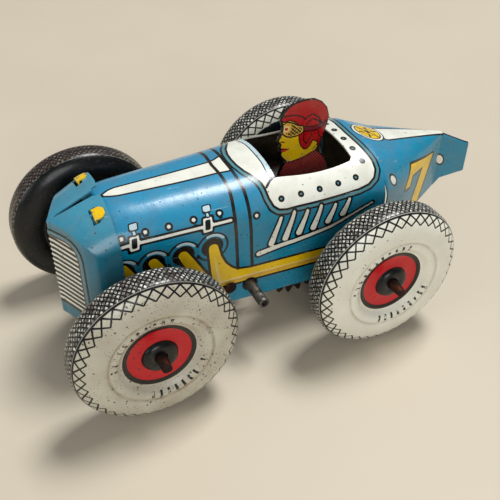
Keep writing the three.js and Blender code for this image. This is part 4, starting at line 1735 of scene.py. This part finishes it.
    def relief(self, along: np.ndarray, z: np.ndarray) -> np.ndarray:
        """How far the slats and their frame stand out of the front.

        Args:
            along: Distance round the front.
            z: Heights.

        Returns:
            The relief, none or inwards.
        """
        frame_gap = self.grille(Sketch(z, along))
        slats = 0.5 + 0.5 * np.cos((z - self.slat_top) / self.slat_pitch * 2 * math.pi)
        inside = np.clip((-1.9 - frame_gap) / 0.4, 0, 1)
        inside = inside * np.clip((z - self.slat_bottom) / 0.3, 0, 1)
        raised = np.clip((-frame_gap - 0.2) / 0.5, 0, 1)
        raised = np.where(inside > 0, slats * inside + (1 - inside), raised)
        return self.slat_relief * raised - self.slat_relief

    def drawings(self, points: np.ndarray) -> Drawings:
        """The grille's print as distances at each point.

        Args:
            points: Places in millimetres, one row each.

        Returns:
            The distances by drawing.
        """
        along = self.along_front(points[:, 0], points[:, 1])
        z = points[:, 2]
        frame_gap = np.where(z < 43.6, self.grille(Sketch(z, along)), 9.0)
        phase = (z - self.slat_top) / self.slat_pitch
        to_slat = np.abs(phase - np.rint(phase)) * self.slat_pitch - 0.36
        ends = np.maximum(self.slat_bottom - 0.6 - z, z - self.slat_top - 0.5)
        ends = np.maximum(frame_gap + 2.1, ends)
        below = self.slat_bottom - 1.4 - z
        return {
            "frame": np.where(below > 0, 9.0, frame_gap),
            "slats": np.maximum(to_slat, ends),
            "fold": np.minimum(np.abs(points[:, 0] - self.rear_x), np.abs(along) + 0.6 * (z < 41)),
        }

    def build_tabs(self, yellow: Material) -> None:
        """The two bent tabs of the body that come up through the cap and fold back over it.

        Args:
            yellow: Finish of the tabs.
        """
        for side, word in ((1, "left"), (-1, "right")):
            clear_selection()
            bpy.ops.mesh.primitive_cube_add(size=MM)
            tab = bpy.context.object
            tab.name = f"nose_tab_{word}"
            tab.data.transform(Matrix.Diagonal((3.0, 3.4, 0.45, 1)))
            tab.data.transform(Matrix.Translation((-1.5 * MM, 0, -0.2 * MM)))
            self.round_tab(tab)
            lift = float(self.sprung(np.array(self.tab_x), np.array(side * self.tab_y)))
            foot = Vector((self.tab_x, side * self.tab_y, self.tab_height + 0.05 + lift))
            place = Matrix.Translation(foot * MM)
            tilt = Matrix.Rotation(-side * 0.32, 4, "X") @ Matrix.Rotation(0.31, 4, "Y")
            tab.data.transform(place @ tilt)
            dress(tab, yellow)
            smooth(tab, 40)
            fit(tab, "chassis", "body_print", "body_shell")

    def round_tab(self, tab: Piece) -> None:
        """Folds a leg down from the tab's front edge and rounds its rear corners.

        Args:
            tab: The tab.
        """
        edit_all(tab)
        bpy.ops.mesh.subdivide(number_cuts=5)
        bpy.ops.object.mode_set(mode="OBJECT")
        points = places(tab)
        nose = points[:, 0] > -0.4
        points[nose & (points[:, 2] < 0), 2] -= 2.0
        tail = np.clip((-1.4 - points[:, 0]) / 1.6, 0, 1)
        points[:, 1] *= 1 - 0.62 * tail**2.5
        points[:, 2] += 0.16 * (1 - (points[:, 1] / 1.8) ** 2) * (~nose)
        move_points(tab, points)
        round_edges(tab, 0.12, 0.6)


# ---------------------------------------------------------------- driver


@dataclass
class Driver:
    """The flat tin driver in profile, printed alike on both faces."""

    thickness: float = 0.45
    pillow: float = 0.28
    cell: float = 0.24
    inks: tuple[Ink, ...] = (
        Ink("shirt", 0.0, Pigment.MAROON),
        Ink("hatching", 0.0, Pigment.BRICK),
        Ink("helmet", 0.32, Pigment.BLACK),
        Ink("helmet", 0.0, Pigment.HELMET),
        Ink("strap", 0.0, Pigment.HELMET_DARK),
        Ink("goggles", 0.42, Pigment.BLACK),
        Ink("goggles", 0.0, Pigment.OLD_GOLD),
        Ink("mesh", 0.0, Pigment.BLACK),
        Ink("eye", 0.45, Pigment.CREAM),
        Ink("eye", 0.0, Pigment.LIP),
        Ink("lips", 0.0, Pigment.LIP),
        # black pen lines, with a painted shadow widening the outline along the front edge
        Ink("ink_lines_and_edge_shadow", 0.0, Pigment.BLACK),
    )
    pen_lines: tuple[tuple[Path, float], ...] = (
        (((-1.8, 57.8), (-3.8, 57.8), (-6.0, 57.6), (-7.9, 56.8), (-9.2, 55.6), (-10.0, 56.3),
          (-11.4, 56.7), (-13.2, 55.4), (-14.2, 53.6)), 0.2),
        (((-9.5, 53.6), (-10.1, 54.7), (-11.6, 55.2), (-13.4, 54.2), (-14.0, 53.0)), 0.17),
        (((-8.6, 53.3), (-12.4, 52.8), (-16.6, 53.8)), 0.17),
        (((-8.6, 51.9), (-12.4, 51.4), (-16.6, 52.4)), 0.17),
        (((-9.0, 51.4), (-8.9, 49.3), (-9.8, 47.9), (-11.0, 49.6), (-11.5, 51.2)), 0.17),
        (((-13.4, 51.2), (-13.8, 49.6), (-14.6, 48.4)), 0.15),
        (((-1.6, 50.0), (-2.4, 50.3), (-3.0, 49.9)), 0.17),
        (((-1.6, 47.9), (-4.6, 47.5)), 0.13),
        (((-13.9, 48.4), (-13.4, 46.6), (-12.2, 45.5)), 0.15),
    )

    def outline(self) -> list[Point]:
        """The figure's edge: shirt, chin, mouth, nose, brow, helmet and neck.

        Returns:
            Its corners.
        """
        return [
            (-17.6, 35.6), (-11.4, 35.6), (-11.4, 31.7), (-8.4, 31.7), (-8.4, 35.6), (-1.3, 35.6),
            (-1.2, 38.4), (-1.7, 40.8), (-2.6, 42.6), (-3.5, 43.7), (-2.7, 44.4), (-2.1, 45.2),
            (-1.7, 46.1), (-1.9, 46.9), (-1.35, 47.4), (-1.75, 47.9), (-1.3, 48.5), (-1.7, 49.2),
            (-1.1, 49.8), (-0.8, 50.6), (-1.2, 51.6), (-1.9, 53.0), (-2.15, 54.2), (-1.9, 55.6),
            (-1.6, 56.8), (-1.8, 58.0), (-2.9, 59.6), (-4.6, 60.7), (-6.9, 61.2), (-9.6, 61.35),
            (-12.0, 61.0), (-14.2, 59.7), (-15.9, 57.6), (-16.6, 55.2), (-16.4, 52.8),
            (-15.6, 50.2), (-14.9, 47.8), (-14.0, 46.0), (-13.2, 44.9), (-14.4, 43.9),
            (-16.2, 41.8), (-17.4, 39.2), (-17.8, 37.0),
        ]

    def build(self, printed: Material) -> Piece:
        """Cuts the figure from a fine sheet, cushions it slightly and prints it.

        Args:
            printed: The figure's finish.

        Returns:
            The driver.
        """
        across = np.arange(-18.6, -0.1, self.cell)
        up = np.arange(31.2, 61.9, self.cell)
        grid = np.stack(np.meshgrid(across, up), axis=2)
        front = np.full(grid.shape[:2], -self.thickness / 2)
        points = np.dstack([grid[..., 0], front, grid[..., 1]])
        plate = sheet("driver_plate", points)
        thicken(plate, self.thickness, lining=0)
        cut(plate, prism("figure_tool", self.outline(), -5, 5, ALONG_Y), keep=True)
        points = places(plate)
        drawn = self.drawings(Sketch(points[:, 0], points[:, 2]))
        depth = np.clip(-drawn["figure"], 0, None)
        swell = self.pillow * (1 - np.exp(-depth / 1.3)) * (points[:, 2] > 36)
        points[:, 1] += np.sign(points[:, 1]) * swell
        move_points(plate, points)
        store(plate, drawn)
        dress(plate, printed)
        smooth(plate, 40)
        return fit(plate, "chassis", "driver_print", "driver_figure")

    def drawings(self, face: Sketch) -> Drawings:
        """The printed shapes in profile.

        Args:
            face: Layout of the figure in profile.

        Returns:
            The distances by drawing.
        """
        helmet = face.patch([
            (-1.4, 56.2), (-2.6, 56.3), (-4.3, 56.5), (-5.7, 55.9), (-7.0, 54.9), (-7.6, 53.2),
            (-7.6, 51.3), (-7.7, 49.4), (-8.3, 47.7), (-9.3, 46.4), (-10.2, 46.3), (-11.0, 47.1),
            (-11.9, 48.6), (-13.4, 47.9), (-13.7, 46.4), (-15.2, 45.6), (-19, 50), (-19, 64),
            (0, 64),
        ])
        lens = [(-2.2, 53.9), (-2.6, 55.2), (-3.6, 55.8), (-5.2, 55.2), (-7.2, 53.9), (-8.6, 53.5),
                (-8.6, 51.9), (-6.9, 51.3), (-5.0, 51.3), (-3.6, 51.8), (-2.6, 52.7)]
        goggles = face.patch(lens)
        weave = [
            np.abs((face.across * way + face.down) / 1.1 % 1 - 0.5) * 1.1 - 0.2 for way in (1, -1)
        ]
        outlined = face.patch(self.outline())
        shirt = face.patch([
            (-19, 30), (0, 30), (0, 42.4), (-3.0, 43.9), (-5.6, 43.4), (-9, 43.9), (-12.2, 44.9),
            (-19, 44.9),
        ])
        diagonal = np.abs((0.8 * face.across + face.down) / 1.0 % 1 - 0.5) - 0.2
        # painted shadow: the black outline widens towards the front edge, standing in for the shade
        # along the tin's edge
        lines = [
            -outlined - np.interp(face.across, [-6, -3], [0.3, 0.62]),
            face.disc(-2.0, 51.6, 0.22),
        ]
        lines += [face.stroke(path, half) for path, half in self.pen_lines]
        rings = np.maximum(goggles + 0.25, -face.disc(-3.7, 53.9, 1.3))
        strap = [
            (-8.6, 53.2), (-12.4, 52.7), (-16.7, 53.7), (-16.7, 52.3), (-12.4, 51.4), (-8.6, 51.9),
        ]
        lips = [(-1.0, 48.5), (-2.6, 48.2), (-4.7, 47.5), (-3.4, 46.9), (-1.2, 46.8)]
        return {
            "figure": outlined,
            "fold": np.abs(outlined),
            "shirt": shirt,
            "hatching": np.maximum(diagonal, shirt + 0.4),
            "helmet": helmet,
            "strap": face.patch(strap),
            "goggles": goggles,
            "mesh": np.maximum(np.minimum(*weave), rings),
            "eye": face.disc(-3.5, 53.9, 0.5),
            "lips": face.patch(lips),
            "ink_lines_and_edge_shadow": np.min(lines, axis=0),
        }


# ---------------------------------------------------------------- wheels and axles


class Face(Enum):
    """The two pressings of a wheel."""

    OUTER = "outer"
    INNER = "inner"


@dataclass
class Wheels:
    """Balloon wheels of two pressed halves, with the rods that they turn with."""

    radius: float = 21.78
    half_width: float = 5.85
    tread_flat: float = 1.5
    section_centre: float = 14.0
    groove_radius: float = 13.5
    disc_radius: float = 9.5
    disc_face: float = 3.85
    hub_radius: float = 4.75
    hub_face: float = 5.25
    bore: float = 1.5
    sheet_thickness: float = 0.45
    steps: int = 150
    rod_radius: float = 1.38
    rod_end: float = 9.4
    ear_setback: float = 7.8

    def profile(self) -> list[Point]:
        """The skin of one half from the meeting edge at the tread in to the bore.

        Returns:
            Points as radius and place along Y.
        """
        points = [(self.radius, y) for y in (0.12, self.tread_flat / 2, self.tread_flat)]
        for turn in np.linspace(0, 0.60 * math.pi, 25)[1:]:
            r = self.section_centre + (self.radius - self.section_centre) * math.cos(turn)
            y = self.tread_flat + (self.half_width - self.tread_flat) * math.sin(turn)
            points.append((r, y - 0.34 * math.exp(-((r - self.groove_radius) / 0.5) ** 2)))
        last = points[-1]
        for share in (0.35, 0.7):
            drop = share * share * (3 - 2 * share)
            points.append((last[0] + (self.disc_radius - last[0]) * share,
                           last[1] + (self.disc_face + 0.1 - last[1]) * drop))
        points += [(r, self.disc_face + lift) for r, lift in (
            (self.disc_radius, 0.16), (9.2, 0.2), (8.85, 0.14), (8.6, -0.05), (7.4, -0.12),
            (6.2, -0.14), (5.2, -0.1), (self.hub_radius, 0.1), (4.5, 0.7),
        )]
        points += [(r, self.hub_face + lift) for r, lift in (
            (4.2, -0.3), (3.8, 0.0), (3.1, 0.16), (2.3, 0.18), (1.8, 0.1), (self.bore, -0.1),
        )]
        return points

    def build(self, finishes: dict[str, Material]) -> None:
        """Makes the pattern half once and copies it to all eight places, then adds the rods.

        Args:
            finishes: Materials by name: one tyre print for each wheel, enamel, inside and axle.
        """
        half = turned("wheel_pattern", self.profile(), self.steps)
        self.turn_skin_out(half)
        thicken(half, self.sheet_thickness)
        for end in ("front", "rear"):
            for side in ("left", "right"):
                self.wheel(half, end, side, finishes)
            self.axle(end, finishes["axle"])
        bpy.data.objects.remove(half)

    def turn_skin_out(self, half: Piece) -> None:
        """Makes the faces of the open skin look away from the wheel's inside.

        Args:
            half: The open skin of one half.
        """
        half.data.update()
        face = max(half.data.polygons, key=lambda polygon: polygon.center.length)
        if face.normal.dot(face.center) < 0:
            edit_all(half)
            bpy.ops.mesh.flip_normals()
            bpy.ops.object.mode_set(mode="OBJECT")

    def wheel(
        self, half: Piece, end: str, side: str, finishes: dict[str, Material]
    ) -> None:
        """Places the two halves of one wheel where its nodes are.

        Args:
            half: The pattern half.
            end: Front or rear.
            side: Left or right.
            finishes: Materials by name.
        """
        name = f"wheel_{end}_{side}"
        low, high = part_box(f"{name}_outer")
        inner_low, inner_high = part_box(f"{name}_inner")
        centre = middle_and_length(f"{end}_axle")[0] * MM
        outwards = 1 if side == "left" else -1
        plane = (high.y + inner_low.y) / 2 if outwards > 0 else (low.y + inner_high.y) / 2
        for face in Face:
            way = outwards if face is Face.OUTER else -outwards
            spin = Matrix.Rotation(0 if way > 0 else math.pi, 4, "Z")
            place = Matrix.Translation((centre.x, plane, centre.z))
            piece = copied(half, f"tyre_{end}_{side}_{face.value}", place @ spin)
            points = places(piece) - np.array((centre.x, plane, centre.z)) / MM
            store(piece, {
                "from_axis": np.hypot(points[:, 0], points[:, 2]),
                "from_middle": np.abs(points[:, 1]),
                "fore_part": points[:, 0],
                "up_part": points[:, 2],
            })
            dress(piece, finishes[f"tyre_{end}_{side}_{face.value}"], finishes["inside"])
            smooth(piece, 35)
            slot = "tyre_print" if face is Face.OUTER else "black_enamel"
            fit(piece, f"{end}_wheels", slot, f"{name}_{face.value}")

    def axle(self, end: str, finish: Material) -> None:
        """A rod with crimped ends and flattened ears inboard of each wheel.

        Args:
            end: Front or rear.
            finish: The material.
        """
        centre, length = middle_and_length(f"{end}_axle")
        axle = rod(f"{end}_axle_rod", centre, self.rod_radius, length - 0.1, 28)
        edit_all(axle)
        tip = length / 2
        ear = tip - self.rod_end - self.ear_setback
        for y in (ear - 1.4, ear - 0.8, ear + 0.8, ear + 1.4, tip - 3.0, tip - 1.5, tip - 0.6):
            for side in (1, -1):
                bpy.ops.mesh.select_all(action="SELECT")
                bpy.ops.mesh.bisect(plane_co=(0, side * y * MM, 0), plane_no=(0, 1, 0))
        bpy.ops.object.mode_set(mode="OBJECT")
        points = places(axle)
        y = np.abs(points[:, 1])
        flat = np.abs(y - ear) < 0.9
        across, up = points[:, 0] - centre.x, points[:, 2] - centre.z
        across = np.where(flat, across * 1.62, across)
        up = np.where(flat, up * 0.42, up)
        crimp = np.clip((y - (tip - 2.2)) / 1.2, 0, 1)
        up *= 1 - 0.30 * crimp
        across *= 1 - 0.06 * crimp
        points[:, 0], points[:, 2] = centre.x + across, centre.z + up
        move_points(axle, points)
        round_edges(axle, 0.22, 0.9)
        dress(axle, finish)
        smooth(axle, 40)
        fit(axle, f"{end}_wheels", "axle_steel", f"{end}_axle")


# ---------------------------------------------------------------- motor


@dataclass
class Motor:
    """The spring motor: its plates, gears and spring keep their made shapes and gain finishes."""

    stem_radius: float = 1.48
    stem_bore: float = 0.8
    stem_bore_depth: float = 2.6
    rivet_x: float = 20.7
    rivet_height: float = 19.4
    kept: dict[str, tuple[str, ...]] = field(default_factory=lambda: {
        "plate": ("seat_bridge", "motor_plate_left", "motor_plate_right", "pillar_front_top",
                  "pillar_front_bottom", "pillar_rear_top", "pillar_rear_bottom"),
        "gear": ("great_wheel", "ratchet_wheel", "click_pawl", "idler_wheel", "axle_pinion"),
        "brass": ("idler_pinion", "click_rivet"),
        "spring": ("mainspring", "click_spring"),
        "axle": ("idler_arbor",),
    })

    def build(self, finishes: dict[str, Material]) -> None:
        """Dresses the kept nodes and makes the stem and the rivets.

        Args:
            finishes: Materials by name.
        """
        for finish, nodes in self.kept.items():
            for node in nodes:
                dress(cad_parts[node], finishes[finish])
        self.stem(finishes["stem"])
        for side, word in ((1, "left"), (-1, "right")):
            self.rivet(side, word, finishes["rivet"])

    def stem(self, finish: Material) -> None:
        """The winding arbor: a hollow-ended rod with a chamfered rim.

        Args:
            finish: The material.
        """
        centre, length = middle_and_length("winding_arbor")
        stem = rod("winding_stem", centre, self.stem_radius, length - 0.02)
        tip = (centre.x, centre.y + length / 2, centre.z)
        cut(stem, rod("bore_tool", tip, self.stem_bore, 2 * self.stem_bore_depth, 24))
        round_edges(stem, 0.2, 0.9)
        dress(stem, finish)
        smooth(stem, 40)
        fit(stem, "winder", "stem_steel", "winding_arbor")

    def rivet(self, side: int, word: str, finish: Material) -> None:
        """A shallow domed rivet with its shank and a flat inner head.

        Args:
            side: 1 on the left and -1 on the right.
            word: Its side, in words.
            finish: The material.
        """
        low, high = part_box(f"body_rivet_{word}")
        outer = max(abs(low.y), abs(high.y)) / MM
        inner = min(abs(low.y), abs(high.y)) / MM
        profile = [(0.001, inner), (1.6, inner), (1.6, inner + 0.45), (1.05, inner + 0.5),
                   (1.05, outer - 0.8), (1.7, outer - 0.75), (1.85, outer - 0.6)]
        for turn in np.linspace(0.15, 1, 7):
            across, up = math.cos(turn * math.pi / 2), math.sin(turn * math.pi / 2)
            profile.append((max(1.85 * across, 0.001), outer - 0.6 + 0.58 * up))
        rivet = turned(f"flank_rivet_{word}", profile, 32)
        tidy_mesh(rivet, outwards=True)
        turn = Matrix.Rotation(0 if side > 0 else math.pi, 4, "Z")
        place = Matrix.Translation((self.rivet_x * MM, 0, self.rivet_height * MM))
        rivet.data.transform(place @ turn)
        dress(rivet, finish)
        smooth(rivet, 40)
        fit(rivet, "chassis", "rivet_steel", f"body_rivet_{word}")


# ---------------------------------------------------------------- studio


@dataclass
class Studio:
    """Camera, pale floor and soft lights."""

    camera_place: tuple[float, float, float] = (83.58, 155.10, 159.19)
    azimuth: float = 63.63
    elevation: float = 39.72
    roll: float = 0.70
    lens: float = 55.0

    def build(self) -> None:
        """Sets up the camera, the floor and the lights."""
        self.camera()
        self.floor()
        self.lights()

    def camera(self) -> None:
        """The camera, above the front left corner and looking down at the car."""
        angles = (self.azimuth, self.elevation, self.roll)
        azimuth, elevation, roll = (math.radians(angle) for angle in angles)
        back = Vector((
            math.cos(azimuth) * math.cos(elevation),
            math.sin(azimuth) * math.cos(elevation),
            math.sin(elevation),
        ))
        right = Vector((0, 0, 1)).cross(back).normalized()
        up = back.cross(right)
        turned_right = right * math.cos(roll) + up * math.sin(roll)
        turned_up = up * math.cos(roll) - right * math.sin(roll)
        data = bpy.data.cameras.new("camera")
        data.lens = self.lens
        data.sensor_width = 36
        data.clip_start, data.clip_end = 0.01, 10
        camera = bpy.data.objects.new("camera", data)
        bpy.context.scene.collection.objects.link(camera)
        axes = Matrix((turned_right, turned_up, back)).transposed().to_4x4()
        camera.matrix_world = Matrix.Translation(Vector(self.camera_place) * MM) @ axes
        bpy.context.scene.camera = camera

    def floor(self) -> None:
        """A pale floor under the tyres."""
        clear_selection()
        bpy.ops.mesh.primitive_plane_add(size=3.0, location=(0, 0, 0))
        floor = bpy.context.object
        floor.name = "floor"
        graph = ShaderGraph("pale_floor")
        cloud = graph.noise(0.02, 3)
        colour = graph.tint(cloud, 0.12, Pigment.FLOOR, Pigment.WHITE)
        roughness = graph.math("MULTIPLY_ADD", cloud, 0.1, 0.5)
        dress(floor, graph.finish(colour, roughness))

    def lights(self) -> None:
        """A broad overhead light from behind, a window light on the left and a pale sky."""
        self.area("key_light", (-0.95, -0.35, 2.4), 0.8, 56.0)
        self.area("window_light", (0.5, 1.7, 1.0), 1.0, 14.0)
        self.area("nose_light", (1.7, 0.2, 0.7), 0.8, 4.0)
        world = bpy.data.worlds.new("sky")
        world.use_nodes = True
        shade = world.node_tree.nodes["Background"]
        shade.inputs[0].default_value = (0.93, 0.96, 1.0, 1)
        shade.inputs[1].default_value = 0.2
        bpy.context.scene.world = world
        bpy.context.scene.view_settings.view_transform = "Standard"

    def area(self, name: str, place: Sequence[float], size: float, power: float) -> None:
        """Adds a square light that faces the car.

        Args:
            name: The light's name.
            place: Where it stands, in metres.
            size: Its side, in metres.
            power: Its power, in watts.
        """
        data = bpy.data.lights.new(name, "AREA")
        data.size, data.energy = size, power
        light = bpy.data.objects.new(name, data)
        bpy.context.scene.collection.objects.link(light)
        light.location = place
        aim = Vector((0, 0, 0.02)) - Vector(place)
        light.rotation_mode = "QUATERNION"
        light.rotation_quaternion = aim.to_track_quat("-Z", "Y")


# ---------------------------------------------------------------- assembly


def make_finishes() -> dict[str, Material]:
    """Makes every plain finish once.

    Returns:
        The materials by name.
    """
    finishes = {
        "inside": BareTin(),
        "plate": WornMetal("motor_plate", Pigment.STEEL, Pigment.RUST, 0.35),
        "gear": WornMetal("gear_steel", Pigment.DARK_STEEL, Pigment.RUST_DARK, 0.5),
        "brass": WornMetal("pinion_brass", Pigment.BRASS, Pigment.OLIVE, 0.3),
        "spring": WornMetal(
            "spring_steel", Pigment.BLUED_STEEL, Pigment.RUST_DARK, 0.2, (0.3, 3.0, 0.3)
        ),
        "axle": WornMetal("axle_steel", Pigment.RUST, Pigment.RUST_DARK, 0.6, (1.0, 0.3, 1.0), 0.5),
        "stem": WornMetal("stem_steel", Pigment.STEEL, Pigment.SOOT, 0.35, (1.0, 0.4, 1.0), 0.45),
        "rivet": WornMetal("rivet_steel", Pigment.RUST, Pigment.RUST_DARK, 0.6, roughness=0.5),
        "tab": PrintedTin("tab_print", Pigment.YELLOW, Pigment.YELLOW, 40.0, 4.0, (), 0.6),
    }
    state = {
        ("front", "left"): (0.3, 0.9), ("rear", "left"): (0.15, 0.15),
        ("rear", "right"): (0.1, 0.3), ("front", "right"): (0.95, 0.9),
    }
    for (end, side), (dirt, wear) in state.items():
        for face in Face:
            name = f"{end}_{side}_{face.value}"
            finishes[f"tyre_{name}"] = TyrePrint(
                f"tyre_print_{name}", dirt=dirt, wear=wear, inboard=face is Face.INNER,
                inboard_rim=21.5 if end == "front" else 18.4,
            )
    return {name: finish.build() for name, finish in finishes.items()}


def main() -> None:
    """Builds the studio and every part of the car in order."""
    logging.basicConfig(level=logging.INFO, format="%(name)s %(message)s")
    Studio().build()
    finishes = make_finishes()
    body = CarBody()
    # the body's blue is painted lighter on top and darker on the sides, as painted light and shade
    printed = PrintedTin("body_print", Pigment.SKY, Pigment.BLUE, 43.0, 6.0, body.inks)
    body.build(printed.build(), finishes["inside"])
    nose = NoseCap()
    # the nose's teal is painted lighter on top and darker on the sides, as painted light and shade
    nose_print = PrintedTin("nose_print", Pigment.LIT_TOP_TEAL, Pigment.SHADED_SIDE_TEAL, 44.0, 6.0, nose.inks)
    nose.build(nose_print.build(), finishes["inside"])
    nose.build_tabs(finishes["tab"])
    driver = Driver()
    face_print = PrintedTin("driver_print", Pigment.SKIN, Pigment.SKIN, 44.0, 6.0, driver.inks, 0.3)
    driver.build(face_print.build())
    Wheels().build(finishes)
    Motor().build(finishes)


if __name__ == "__main__":
    main()
